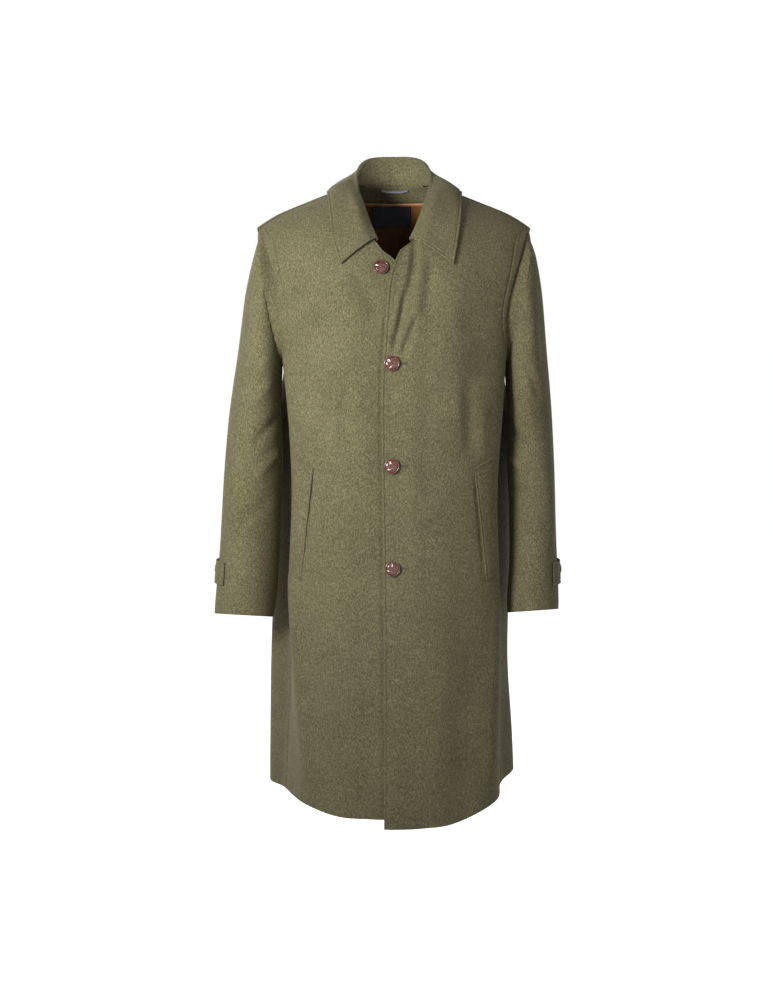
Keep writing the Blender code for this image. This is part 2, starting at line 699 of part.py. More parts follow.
def sleeve_grid(side, steps=2):
    rings = [armhole_ring(TUCK_SHARE, TUCK_DEPTH, side), armhole_ring(MOUTH_SHARE, MOUTH_DEPTH, side)]
    for k in range((len(SLEEVE) - 1) * steps + 1):
        rings.append(sleeve_ring(k / steps, side))
    return np.array(rings)


def make_sleeves():
    for name, side in (("sleeve_left", 1), ("sleeve_right", -1)):
        grid = sleeve_grid(side)
        normals = grid_normals(grid, closed=True)
        outwards = grid - grid.mean(axis=1, keepdims=True)
        if (normals[5:] * outwards[5:]).sum() < 0:
            normals = -normals
        wall(name, grid, grid - normals * CLOTH, LODEN, closed=True)


def sleeve_surface(degrees, z, side):
    """A point of the sleeve's outer face at an angle round it and a height, and its outward normal."""
    count = 72
    index = (degrees % 360) / 360 * count
    low, share = int(index) % count, index - int(index)
    def point(row):
        ring = sleeve_ring(row, side, count)
        return ring[low] * (1 - share) + ring[(low + 1) % count] * share
    top, bottom = 3.0, float(len(SLEEVE) - 1)
    for _ in range(30):
        middle = (top + bottom) / 2
        if point(middle)[2] > z:
            top = middle
        else:
            bottom = middle
    ring = sleeve_ring(top, side, count)
    here = point(top)
    normal = unit(np.cross(ring[(low + 1) % count] - ring[low], point(min(top + 0.05, 8.0)) - point(top - 0.05)))
    if np.dot(normal, here - ring.mean(axis=0)) < 0:
        normal = -normal
    return here, normal


def make_tabs(columns=14, rows=4):
    for name, side in (("cuff_tab_left", 1), ("cuff_tab_right", -1)):
        outer, normals = [], []
        for i in range(rows):
            z = TAB_TOP_Z - TAB_WIDTH * (1 - i / (rows - 1))
            for k in range(columns):
                t = k / (columns - 1)
                here, normal = sleeve_surface(TAB_FROM_DEG + (TAB_TO_DEG - TAB_FROM_DEG) * t, z, side)
                lift = 0.0008 + CLOTH + TAB_STANDS_OFF * float(smooth_step(t * 3))
                outer.append(here + normal * lift)
                normals.append(normal)
        outer = np.array(outer).reshape(rows, columns, 3)
        normals = np.array(normals).reshape(rows, columns, 3)
        wall(name, outer, outer - normals * CLOTH, LODEN)


# Collar

def neck_seam_point(degrees, side):
    """A point of the neck seam with the body's normal there: 0 is the nape, 90 the shoulder seam."""
    if degrees <= 90:
        z = NECK_POINT_Z
        x = side * NECK_POINT_X * math.sin(math.radians(degrees)) * 0.9995
        u = u_at_x(x, z, back=True)
    else:
        z = NECK_POINT_Z + (NECK_SEAM[0].z - NECK_POINT_Z) * (degrees - 90) / 90
        x = side * min(float(along(NECK_SEAM, "z", "x", z)), NECK_POINT_X * 0.9995)
        u = u_at_x(x, z)
    return body(u, z), body_normal(u, z)


def collar_line(name, station):
    return float(along(COLLAR, "station", name, station))


def roll_point(station, side):
    return np.array([side * collar_line("roll_x", station)] + [collar_line(f"roll_{a}", station) for a in "yz"])


def collar_base(station, side):
    """Where the stand is sewn on, just inside the neck seam, and the body's normal there."""
    degrees = collar_line("base_deg", station)
    seam, normal = neck_seam_point(degrees, side)
    tangent = unit(neck_seam_point(degrees + 4, side)[0] - neck_seam_point(max(degrees - 4, 0), side)[0])
    inwards = unit(np.cross(normal, tangent))
    if np.dot(inwards, np.array([0.0, -0.01, 0.03]) - seam) < 0:
        inwards = -inwards
    behind = CLOTH / 2 + 0.0045 * float(smooth_step((station - 0.55) / 0.3))
    return seam + inwards * (GAP + COLLAR_CLOTH * 0.9) - normal * behind, normal


def averaged(function, station, side, reach=0.05):
    """Mean of a function of the station over its neighbours, to round off the corner at the shoulder seam."""
    near = [min(max(station + d, 0.0), 1.0) for d in (-reach, 0.0, 0.0, reach)]
    results = [function(s, side) for s in near]
    if station - reach < 0:
        results[0] = tuple(part * (-1, 1, 1) for part in function(reach - station, side))
    return tuple(np.mean(parts, axis=0) for parts in zip(*results))


def collar_profile(samples, station, side):
    """Middle line of the collar's cloth across one station, from the neck seam over the roll to the edge."""
    base, seam_normal = averaged(collar_base, station, side)
    roll = roll_point(station, side)
    tangent = unit(roll_point(min(station + 0.06, 1.0), side) - roll_point(max(station - 0.06, 0.0), side))
    if station == 0:
        tangent = np.array([side * 1.0, 0.0, 0.0])
    rise = roll - base
    rise = unit(rise - tangent * np.dot(rise, tangent))
    across = unit(np.cross(tangent, rise))
    if np.dot(across, seam_normal) < 0:
        across = -across
    centre = roll - rise * ROLL_RADIUS
    inner_turn, outer_turn = centre - across * ROLL_RADIUS, centre + across * ROLL_RADIUS

    rest = 0.0018 + COLLAR_CLOTH / 2
    edge_x = side * collar_line("edge_left_x" if side > 0 else "edge_right_x", station)
    edge = np.array([edge_x, collar_line("edge_y", station), collar_line("edge_z", station)])
    edge = kept_off(samples, edge, rest, snap=True)
    swell = collar_line("bulge", station) * 4
    line = [base, base * 0.5 + inner_turn * 0.5, inner_turn, roll, outer_turn]
    chord = edge - outer_turn
    out = across - unit(chord) * np.dot(across, unit(chord))
    for share in (0.2, 0.4, 0.6, 0.8):
        point = outer_turn + chord * share + unit(out) * swell * share * (1 - share)
        line.append(kept_off(samples, point, rest + COLLAR_CLOTH * (1 - share)))
    line.append(edge)
    return line


def smooth_line(points, counts):
    """Points on a smooth curve through the given ones, with a stated number of steps between each pair."""
    p = np.array(points)
    p = np.vstack([2 * p[0] - p[1], p, 2 * p[-1] - p[-2]])
    made = []
    for k, count in enumerate(counts):
        for i in range(count):
            made.append(curve_point(p[k], p[k + 1], p[k + 2], p[k + 3], i / count))
    made.append(p[-2])
    return np.array(made)


def collar_grid(samples, stations=COLLAR_STATIONS, counts=(1, 1, 2, 2, 1, 1, 1, 1, 1)):
    half = list(stations)
    rows = [smooth_line(collar_profile(samples, s, -1), counts) for s in half[::-1]]
    rows += [smooth_line(collar_profile(samples, s, 1), counts) for s in half[1:]]
    return np.array(rows)


def make_collar(samples):
    grid = collar_grid(samples)
    normals = grid_normals(grid)
    wall("collar", grid + normals * COLLAR_CLOTH / 2, grid - normals * COLLAR_CLOTH / 2, LODEN)


# What is sewn on to the panels

def make_welts(left, right, rows=9, columns=4):
    for name, side, panel in (("welt_left", 1, left), ("welt_right", -1, right)):
        outer, normals = [], []
        for i in range(rows):
            t = i / (rows - 1)
            z = WELT_BOTTOM_Z + (WELT_TOP_Z - WELT_BOTTOM_Z) * t
            x = WELT_BOTTOM_X + (WELT_TOP_X - WELT_BOTTOM_X) * t
            row, column = place_on(panel, side * x, z, (4, 12))
            start, _ = on_panel(panel, row, column)
            for k in range(columns):
                reach = WELT_WIDTH * k / (columns - 1)
                step = np.linalg.norm(panel.points[int(row), int(column) + 1] - panel.points[int(row), int(column)])
                level = (panel.points[5, 0, 2] - panel.points[4, 0, 2])
                point, normal = on_panel(
                    panel, row + WELT_RISE * k / (columns - 1) / level, column + side * reach / step
                )
                outer.append(point + normal * (WELT_CLOTH + WELT_LIFT))
                normals.append(normal)
        outer = np.array(outer).reshape(rows, columns, 3)
        normals = np.array(normals).reshape(rows, columns, 3)
        wall(name, outer, outer - normals * WELT_CLOTH, LODEN)


def make_buttons(left, right):
    for number, (x, z) in enumerate(BUTTONS, start=1):
        panel = right if number == 1 else left
        row, column = place_on(panel, x, z, (0, 20))
        point, normal = on_panel(panel, row, column)
        button(f"button_front_{number}", point + normal * GAP, normal, BUTTON_R)
    for name, side in (("button_cuff_left", 1), ("button_cuff_right", -1)):
        here, normal = sleeve_surface(TAB_BUTTON_DEG, TAB_TOP_Z - TAB_WIDTH / 2, side)
        at = here + normal * (0.0008 + CLOTH + TAB_STANDS_OFF + 2 * GAP)
        button(name, at, normal, CUFF_BUTTON_R, BUTTON_HEIGHT * 0.8, sides=16)


def part_of(panel, rows, columns):
    return Panel(panel.points[rows, columns], panel.normals[rows, columns])


def inside_at(back, x, z, depth):
    """A point behind the back's face, inside the coat."""
    rows = back.points.shape[0]
    row, column = place_on(back, x, z, (rows - 10, rows - 1))
    point, normal = on_panel(back, row, column)
    return point - normal * depth


def make_inside(back):
    """Facing, piping, satin lining, label and hanger loop inside the back neck."""
    facing_depth = CLOTH + GAP
    columns = slice(3, -3)
    panel_wall("neck_facing", part_of(back, slice(-FACING_ROWS, None), columns), FACING_CLOTH, LODEN, facing_depth)

    edge = part_of(back, slice(-FACING_ROWS - 1, -FACING_ROWS + 1), columns)
    middle = edge.points[0] * 0.3 + edge.points[1] * 0.7
    normal = unit(edge.normals[0] + edge.normals[1])
    tube("lining_piping", middle - normal * (CLOTH + GAP + 0.0020), 0.0017, PIPING_TAN)

    satin = part_of(back, slice(-FACING_ROWS - 1 - LINING_ROWS, -FACING_ROWS), columns)
    panel_wall("lining_back", satin, LINING_CLOTH, SATIN_BROWN, facing_depth)

    outer = []
    for i in range(3):
        z = LABEL_TOP_Z - LABEL_HEIGHT * (1 - i / 2)
        for k in range(7):
            x = LABEL_X + LABEL_WIDTH * (0.5 - k / 6)
            outer.append(inside_at(back, x, z, facing_depth + LINING_CLOTH + 0.0009))
    outer = np.array(outer).reshape(3, 7, 3)
    normals = -grid_normals(outer)
    if normals[..., 1].mean() > 0:
        normals = -normals
    wall("label", outer + normals * 0.0006, outer, LABEL_NAVY)

    line = []
    for t in np.linspace(-1, 1, 13):
        z = SHOULDER_ROWS[-1].back_z - 0.0050 - LOOP_SAG * (1 - t**4)
        off = facing_depth + FACING_CLOTH + LOOP_R + 0.0008 + 0.0015 * (1 - t**2)
        line.append(inside_at(back, LOOP_X + t * LOOP_WIDTH / 2, z, off))
    tube("hanger_loop", line, LOOP_R, LOOP_GREY)


def main():
    clear_scene()
    samples = body_samples()
    left, right, back = front_panel(True), front_panel(False), back_panel()
    panel_wall("front_left", left, CLOTH, LODEN)
    panel_wall("front_right", right, CLOTH, LODEN)
    panel_wall("back", back, CLOTH, LODEN)
    make_sleeves()
    make_collar(samples)
    make_welts(left, right)
    make_tabs()
    make_buttons(left, right)
    make_inside(back)


main()
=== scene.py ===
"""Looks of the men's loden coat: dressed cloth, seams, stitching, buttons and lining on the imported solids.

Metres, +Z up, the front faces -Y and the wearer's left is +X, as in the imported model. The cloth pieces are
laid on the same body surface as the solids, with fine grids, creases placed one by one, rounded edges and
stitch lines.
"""

import math
import random
from collections import namedtuple

import bpy
import numpy as np
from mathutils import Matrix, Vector
from mathutils.kdtree import KDTree


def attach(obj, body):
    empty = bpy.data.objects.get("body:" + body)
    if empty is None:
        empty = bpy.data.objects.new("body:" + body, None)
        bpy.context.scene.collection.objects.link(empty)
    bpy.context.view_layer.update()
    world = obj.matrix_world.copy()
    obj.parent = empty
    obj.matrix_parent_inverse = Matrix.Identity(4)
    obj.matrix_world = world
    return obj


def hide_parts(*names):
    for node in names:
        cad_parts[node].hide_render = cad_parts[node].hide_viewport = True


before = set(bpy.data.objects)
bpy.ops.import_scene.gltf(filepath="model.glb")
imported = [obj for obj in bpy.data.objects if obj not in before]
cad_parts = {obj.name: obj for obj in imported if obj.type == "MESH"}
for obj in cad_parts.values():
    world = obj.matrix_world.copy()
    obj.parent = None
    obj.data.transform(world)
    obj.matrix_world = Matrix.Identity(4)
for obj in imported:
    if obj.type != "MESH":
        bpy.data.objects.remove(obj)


def table(name, fields, *rows):
    """Rows of numbers whose columns have names."""
    row = namedtuple(name, fields)
    return tuple(row(*numbers) for numbers in rows)


# Cloth and seams
CLOTH = 0.0025
GAP = 0.0004
COLLAR_CLOTH = 0.003
FACING_CLOTH = 0.0015
LINING_CLOTH = 0.001
LAP_LIFT = CLOTH + 0.0007
# Where the upper front starts to come down to the body beside the lap, and over what distances it does
LAP_X = 0.028
LAP_FADE_X = 0.035
LAP_FADE_Z = 0.03

# Levels of the coat
HEM_Z = -1.075
UNDERARM_Z = -0.315
NECK_POINT_Z = -0.001

# Shoulders
TIP_X = 0.2335
NECK_POINT_X = 0.073
SHOULDER_SLOPE = 0.4
SHOULDER_DROP = 3.4
SHOULDER_DROP_FROM_X = 0.18
NECK_ROUNDING = 0.02
RIDGE_Y = 0.005
TIP_Z = -0.0745

# How round the body is from the underarm up to the ridge, as powers of its outline, and how they change
# near the neck
FRONT_POWER, FRONT_POWER_AT_NECK = 1.8, -0.25
BACK_POWER, BACK_POWER_AT_NECK = 2.1, 0.5
NECK_REACH = 0.06

# How the sleeve is tucked under the armhole's edge
TUCK_SHARE = 1.045
TUCK_DEPTH = 0.0046
MOUTH_SHARE = 0.955
MOUTH_DEPTH = 0.0032

# Fastening
BUTTON_R = 0.013
CUFF_BUTTON_R = 0.0098
BUTTON_HEIGHT = 0.0075
SHANK = 0.002

# Level sections of one half, from the hem up. The front edge of a section lies at front_y and its back at
# back_y on the centre line. The breast, fold, side, flank and blade are points between them. The fold is
# where the front turns to the side. right_in moves it inwards on the wearer's right, and right_out moves
# the flank outwards there.
SECTIONS = table(
    "Section",
    "z front_y breast_x breast_y fold_x fold_y side_x side_y flank_x flank_y blade_x blade_y back_y"
    " right_in right_out",
    (-1.12, -0.178, 0.1, -0.168, 0.176, -0.118, 0.196,
     -0.012, 0.226, 0.08, 0.142, 0.184, 0.194, 0.026, 0.001),
    (-0.98, -0.174, 0.1, -0.165, 0.178, -0.112, 0.19, -0.012, 0.219, 0.08, 0.14, 0.176, 0.184, 0.023, 0.006),
    (-0.84, -0.168, 0.1, -0.16, 0.181, -0.106, 0.184, -0.014, 0.209, 0.08, 0.134, 0.165, 0.172, 0.013, 0.013),
    (-0.69, -0.16, 0.1, -0.152, 0.181, -0.1, 0.178, -0.014, 0.209, 0.08, 0.124, 0.15, 0.158, 0.004, 0.006),
    (-0.52, -0.15, 0.098, -0.143, 0.177, -0.092, 0.172, -0.01, 0.21, 0.08, 0.114, 0.136, 0.142, 0.004, 0.002),
    (-0.4, -0.145, 0.098, -0.138, 0.184, -0.084, 0.18, -0.006, 0.207, 0.078, 0.109, 0.128, 0.134, 0.006, 0.0),
    (-0.315, -0.14, 0.098, -0.134, 0.187, -0.074, 0.191, 0.0, 0.188, 0.07, 0.105, 0.123, 0.13, 0.003, 0.0),
)
POINTS_PER_HALF = 6

# How far each front reaches past the centre line, and how the tops of the fronts spread open.
FRONT_EDGES = table(
    "FrontEdge", "z over_x under_x",
    (-1.12, -0.0165, 0.017),
    (-0.65, -0.018, 0.017),
    (-0.45, -0.0205, 0.017),
    (-0.33, -0.0205, 0.017),
    (-0.25, -0.015, 0.017),
    (-0.19, -0.0105, 0.017),
    (-0.165, -0.0078, 0.015),
    (-0.146, -0.0017, 0.011),
    (-0.1325, 0.003, 0.0029),
    (-0.1237, 0.0075, -0.0109),
    (-0.113, 0.0134, -0.0205),
    (-0.1025, 0.0285, -0.0285),
)

# The neck seam of a front, from its front end to the shoulder seam.
NECK_SEAM = table(
    "NeckSeam", "z x",
    (-0.1025, 0.0285),
    (-0.0885, 0.0435),
    (-0.072, 0.054),
    (-0.043, 0.063),
    (-0.018, 0.0695),
    (NECK_POINT_Z, NECK_POINT_X),
)

# Rows of the panels above the underarm: where each starts, at the front edge, the neck seam or the centre
# of the back, and where it ends. The armhole's edge lies at end_z and the shares front_u and back_u.
ARMHOLE_ROWS = table(
    "ArmholeRow", "front_z back_z end_z front_u back_u",
    (-0.315, -0.315, -0.315, 0.5, 0.5),
    (-0.3, -0.303, -0.3078, 0.435, 0.556),
    (-0.272, -0.278, -0.287, 0.378, 0.606),
    (-0.243, -0.249, -0.2553, 0.335, 0.643),
    (-0.214, -0.217, -0.2163, 0.313, 0.662),
    (-0.186, -0.184, -0.1748, 0.311, 0.662),
    (-0.159, -0.151, -0.1358, 0.318, 0.655),
    (-0.1325, -0.122, -0.104, 0.33, 0.646),
    (-0.115, -0.098, -0.0835, 0.344, 0.634),
    (-0.1025, -0.078, TIP_Z, 0.5, 0.5),
)
SHOULDER_ROWS = table(
    "ShoulderRow", "front_z back_z end_z",
    (-0.1025, -0.078, TIP_Z),
    (-0.092, -0.068, -0.0655),
    (-0.081, -0.056, -0.054),
    (-0.069, -0.045, -0.043),
    (-0.056, -0.0345, -0.0325),
    (-0.044, -0.025, -0.022),
    (-0.031, -0.013, -0.011),
    (-0.018, -0.001, NECK_POINT_Z),
)
FACING_ROWS = 3
LINING_ROWS = 7

# The hem's height round the body, from centre front to centre back, for the wearer's left and right.
HEM = table(
    "HemPoint", "u left_z right_z",
    (-0.12, -1.1025, -1.085),
    (0.0, -1.102, -1.086),
    (0.16, -1.099, -1.0855),
    (0.33, -1.072, -1.0785),
    (0.5, -1.068, -1.0775),
    (0.65, -1.06, -1.08),
    (0.8, -1.06, -1.07),
    (1.0, -1.064, -1.064),
)
HEM_FADE = 0.3

# The collar from centre back to its front end. base_deg says where it is sewn on: 0 is the nape, 90 the
# shoulder seam and 180 the end of the neck seam. The roll is its folded line. The leaf's edge rests on the
# body near edge_x, edge_y, edge_z, and the leaf swells out by bulge on the way there.
COLLAR = table(
    "Collar", "station base_deg roll_x roll_y roll_z edge_left_x edge_right_x edge_y edge_z bulge",
    (0.0, 0, 0.0, 0.066, 0.051, 0.0, 0.0, 0.082, -0.019, 0.003),
    (0.14, 26, 0.0365, 0.059, 0.049, 0.0465, 0.0465, 0.078, -0.0195, 0.004),
    (0.28, 52, 0.0565, 0.043, 0.039, 0.086, 0.086, 0.062, -0.019, 0.006),
    (0.42, 74, 0.0645, 0.02, 0.019, 0.112, 0.112, 0.03, -0.017, 0.009),
    (0.5, 86, 0.064, 0.002, 0.005, 0.116, 0.1135, 0.005, -0.017, 0.009),
    (0.58, 98, 0.0605, -0.019, -0.012, 0.1175, 0.1135, -0.022, -0.022, 0.008),
    (0.7, 121, 0.052, -0.043, -0.037, 0.1165, 0.11, -0.06, -0.05, 0.006),
    (0.85, 146, 0.04, -0.066, -0.07, 0.1095, 0.104, -0.088, -0.095, 0.005),
    (1.0, 168, 0.0275, -0.0855, -0.096, 0.101, 0.0905, -0.11, -0.14, 0.004),
)
ROLL_RADIUS = 0.0035
# How far the leaf's inner face keeps off the body, and how much deeper the stand's front end is sewn in
LEAF_CLEAR = 0.0018
STAND_TUCK = 0.0045

# The sleeve from the shoulder down: its outer line, its inner line, its middle, half depth, how far its
# front is lifted by the bend of the arm, and how much lower the sleeve on the wearer's right hangs.
SLEEVE = table(
    "SleeveRow",
    "outer_left_x outer_right_x outer_z inner_left_x inner_right_x inner_z mid_y half_depth front_lift"
    " right_drop",
    (0.24, 0.2375, -0.1, 0.196, 0.196, -0.316, -0.001, 0.068, 0.0, 0.0),
    (0.249, 0.245, -0.124, 0.199, 0.1985, -0.338, -0.001, 0.072, 0.0, 0.0),
    (0.2605, 0.26, -0.19, 0.2025, 0.2005, -0.374, 0.0, 0.074, 0.0, 0.0),
    (0.2695, 0.2735, -0.29, 0.204, 0.201, -0.42, 0.0, 0.072, 0.0, 0.0),
    (0.2785, 0.2895, -0.4, 0.2045, 0.2005, -0.47, -0.003, 0.067, 0.002, 0.001),
    (0.2855, 0.3015, -0.52, 0.209, 0.2035, -0.55, -0.014, 0.061, 0.006, 0.003),
    (0.2885, 0.3075, -0.63, 0.2095, 0.206, -0.64, -0.031, 0.056, 0.01, 0.005),
    (0.2905, 0.312, -0.69, 0.206, 0.2085, -0.696, -0.04, 0.054, 0.01, 0.007),
    (0.291, 0.316, -0.742, 0.201, 0.212, -0.748, -0.047, 0.053, 0.01, 0.008),
)
SLEEVE_COLUMNS = 2 * (len(ARMHOLE_ROWS) - 1)

# The cuff tab, by angle round the sleeve from its outer line, positive to the front.
TAB_FROM_DEG = 46
TAB_TO_DEG = -98
TAB_BUTTON_DEG = -24
TAB_TOP_Z = -0.655
TAB_WIDTH = 0.04
TAB_STANDS_OFF = 0.0015
TAB_SEAT = 0.0008

# Slanted pocket welts, by distance from the middle and height
WELT_TOP_X, WELT_TOP_Z = 0.137, -0.484
WELT_BOTTOM_X, WELT_BOTTOM_Z = 0.159, -0.678
WELT_WIDTH = 0.034
WELT_RISE = 0.014
WELT_CLOTH = 0.002

# Label and hanger loop inside the back neck
LABEL_WIDTH, LABEL_HEIGHT = 0.072, 0.039
LABEL_X, LABEL_TOP_Z = -0.004, -0.032
LOOP_X, LOOP_WIDTH, LOOP_SAG, LOOP_R = 0.0025, 0.05, 0.0035, 0.0014

# Front buttons from the top, by distance from the middle and height
BUTTONS = ((-0.0225, -0.145), (-0.0035, -0.3055), (-0.0035, -0.4806), (-0.0022, -0.6544))

FRONT_COLUMNS = 15
BACK_COLUMNS = 11
SKIRT_ROWS = 13
# Rows where a panel's edge turns a corner: the underarm and both ends of the step to the shoulder's tip
UNDERARM_ROW = SKIRT_ROWS - 1
LAST_ARMHOLE_ROW = UNDERARM_ROW + len(ARMHOLE_ROWS) - 2
TIP_ROW = LAST_ARMHOLE_ROW + 1
TOP_ROW = TIP_ROW + len(SHOULDER_ROWS) - 1
CORNER_ROWS = (0, UNDERARM_ROW, LAST_ARMHOLE_ROW, TIP_ROW, TOP_ROW)

COLLAR_STATIONS = (0.0, 0.1, 0.19, 0.28, 0.36, 0.43, 0.48, 0.515, 0.55, 0.61, 0.69, 0.77, 0.85, 0.93, 1.0)


def smooth_step(t):
    t = np.clip(t, 0.0, 1.0)
    return t * t * (3 - 2 * t)


def bell(distance, width):
    """1 on a line, falling to nothing a few widths away from it."""
    return np.exp(-((distance / width) ** 2))


def along(rows, key, name, at):
    """A column of a table read at a value of its key column, on a smooth curve through the rows."""
    keys = np.array([getattr(row, key) for row in rows])
    values = np.array([getattr(row, name) for row in rows])
    slopes = np.gradient(values, keys)
    at = np.clip(at, keys[0], keys[-1])
    i = np.clip(np.searchsorted(keys, at, side="right") - 1, 0, len(keys) - 2)
    step = keys[i + 1] - keys[i]
    t = (at - keys[i]) / step
    h00, h10 = (1 + 2 * t) * (1 - t) ** 2, t * (1 - t) ** 2
    h01, h11 = t * t * (3 - 2 * t), t * t * (t - 1)
    return h00 * values[i] + h10 * step * slopes[i] + h01 * values[i + 1] + h11 * step * slopes[i + 1]


def curve_point(a, b, c, d, t):
    """A point between b and c on a smooth curve through four points."""
    return 0.5 * (2 * b + (c - a) * t + (2 * a - 5 * b + 4 * c - d) * t**2 + (3 * b - 3 * c + d - a) * t**3)


def unit(vectors):
    return vectors / np.maximum(np.linalg.norm(vectors, axis=-1, keepdims=True), 1e-12)


# The body surface, by the share u of the way round from centre front to centre back, and by height z.
# u is negative on the wearer's right.

def section_points(z, right):
    """The seven points of half a level section, from centre front to centre back, at many heights."""
    def at(name):
        return along(SECTIONS, "z", name, z)
    none = np.zeros_like(z)
    fold_in = np.where(right, at("right_in"), none)
    flank_out = np.where(right, at("right_out"), none)
    return np.stack([
        np.stack([none, at("front_y")], axis=-1),
        np.stack([at("breast_x") - 0.4 * fold_in, at("breast_y")], axis=-1),
        np.stack([at("fold_x") - fold_in, at("fold_y")], axis=-1),
        np.stack([at("side_x"), at("side_y")], axis=-1),
        np.stack([at("flank_x") + flank_out, at("flank_y")], axis=-1),
        np.stack([at("blade_x"), at("blade_y")], axis=-1),
        np.stack([none, at("back_y")], axis=-1),
    ], axis=1)


def level_section(u, z):
    """Points (x, y) of the level sections at heights z."""
    right = u < 0
    ring = section_points(z, right)
    ring = np.concatenate([ring[:, 1:2] * (-1, 1), ring, ring[:, -2:-1] * (-1, 1)], axis=1)
    s = np.abs(u) * POINTS_PER_HALF
    k = np.clip(s.astype(int), 0, POINTS_PER_HALF - 1)
    each = np.arange(len(u))
    xy = curve_point(*(ring[each, k + step] for step in range(4)), (s - k)[:, None])
    xy[:, 0] *= np.where(right, -1, 1)
    return xy


def ridge_z(x):
    """Height of the shoulder's ridge at a distance from the middle."""
    run = np.sqrt(x * x + NECK_ROUNDING**2) - math.hypot(NECK_POINT_X, NECK_ROUNDING)
    drop = SHOULDER_DROP * np.clip(np.abs(x) - SHOULDER_DROP_FROM_X, 0, None) ** 2
    return NECK_POINT_Z - SHOULDER_SLOPE * run - drop


RIDGE_XS = np.linspace(0.0, 0.3, 600)
RIDGE_ZS = ridge_z(RIDGE_XS)


def ridge_height(x):
    return np.interp(np.abs(x), RIDGE_XS, RIDGE_ZS)


def ridge_reach(z):
    return np.interp(-z, -RIDGE_ZS, RIDGE_XS)


def spread_at(z):
    """How much wider than the chest section the body is at a height above the underarm."""
    side = along(SECTIONS, "z", "side_x", UNDERARM_Z)
    rising = 1 + (TIP_X / side - 1) * smooth_step((z - UNDERARM_Z) / (TIP_Z - UNDERARM_Z))
    return np.where(z < TIP_Z, rising, ridge_reach(z) / side)


def body(u, z):
    """Points on the body's outer surface."""
    u, z = np.broadcast_arrays(np.asarray(u, float), np.asarray(z, float))
    flat_u, flat_z = u.ravel(), z.ravel()
    out = np.zeros((len(flat_u), 3))
    out[:, :2] = level_section(flat_u, np.minimum(flat_z, UNDERARM_Z))
    out[:, 2] = flat_z
    high = flat_z > UNDERARM_Z
    zh = flat_z[high]
    x = out[high, 0] * spread_at(zh)
    near_neck = bell(x, NECK_REACH)
    in_front = np.abs(flat_u[high]) < 0.5
    power_in_front = FRONT_POWER + FRONT_POWER_AT_NECK * near_neck
    power = np.where(in_front, power_in_front, BACK_POWER + BACK_POWER_AT_NECK * near_neck)
    t = np.clip((zh - UNDERARM_Z) / (ridge_height(x) - UNDERARM_Z), 0, 1)
    share = (1 - t**power) ** (1 / power)
    out[high, 0] = x
    out[high, 1] = RIDGE_Y + (out[high, 1] - RIDGE_Y) * share
    return out.reshape(*u.shape, 3)


def body_normal(u, z):
    """Outward unit normals of the body's surface. On the shoulder seam it is the ridge's own normal."""
    u, z = np.broadcast_arrays(np.asarray(u, float), np.asarray(z, float))
    dz = 1e-4
    z = np.where(z >= TIP_Z, z - 1.5 * dz, z)
    du = np.where(np.abs(np.abs(u) - 0.5) < 1e-6, 1e-3, np.minimum(1e-3, np.abs(np.abs(u) - 0.5)))
    across = body(u + du, z) - body(u - du, z)
    up = body(u, z + dz) - body(u, z - dz)
    normal = unit(np.cross(across, up))
    x = body(u, z)[..., 0]
    slope = (ridge_height(np.abs(x) + 1e-3) - ridge_height(np.abs(x) - 1e-3)) / 2e-3
    on_ridge = (np.abs(np.abs(u) - 0.5) < 1e-6) & (z > TIP_Z - 3 * dz)
    ridge_normal = unit(np.stack([-slope * np.sign(x), np.zeros_like(x), np.ones_like(x)], axis=-1))
    return np.where(on_ridge[..., None], ridge_normal, normal)


def u_at_x(x, z, back=False):
    """The share round the body where its section at height z has the distance x from the middle."""
    us = np.linspace(0.0, 0.5, 260)
    us = 1 - us if back else us
    side = 1.0 if x >= 0 else -1.0
    xs = np.maximum.accumulate(body(us * side, np.full(len(us), z))[:, 0] * side)
    return side * float(np.interp(abs(x), xs, us))


def body_samples():
    """Points all over the body with their normals, to find what lies nearest to a given point."""
    us = np.linspace(-1, 1, 401)
    zs = np.concatenate([np.linspace(-0.36, TIP_Z - 0.002, 90), np.linspace(TIP_Z, -0.0005, 60)])
    u, z = np.meshgrid(us, zs)
    neck = along(NECK_SEAM, "z", "x", np.clip(z, NECK_SEAM[0].z, None))
    in_neck = (np.abs(u) < 0.5) & (z > NECK_SEAM[0].z) & (np.abs(body(u, z)[..., 0]) < neck)
    keep = (np.abs(np.abs(u) - 0.5) > 0.004) & ~in_neck
    u, z = u[keep], z[keep]
    points, normals = body(u, z), body_normal(u, z)
    tree = KDTree(len(points))
    for i, point in enumerate(points):
        tree.insert(point, i)
    tree.balance()
    return points, normals, tree


# How far beside a body sample a point may lie, and over what distance its push fades before that
PUSH_REACH = 0.012
PUSH_FADE = 0.006


def kept_off(samples, point, clear, snap=False):
    """The point, moved out along the body's normal where it is nearer than clear, or moved in too to snap."""
    points, normals, tree = samples
    _, i, _ = tree.find(point)
    height = float(np.dot(point - points[i], normals[i]))
    beside = np.linalg.norm(point - points[i] - normals[i] * height)
    if snap:
        return point + normals[i] * (clear - height)
    share = float(smooth_step((PUSH_REACH - beside) / PUSH_FADE))
    return point + normals[i] * max(0.0, clear - height) * share


# Panels are grids of points with the normals of the body there.

Panel = namedtuple("Panel", "points normals")


def hem_height(u, z, side):
    """Height of a level row's point, bent to the hem's line near the bottom."""
    line = along(HEM, "u", "left_z" if side > 0 else "right_z", u * side)
    return z + (line - HEM_Z) * smooth_step(1 - (z - HEM_Z) / HEM_FADE)


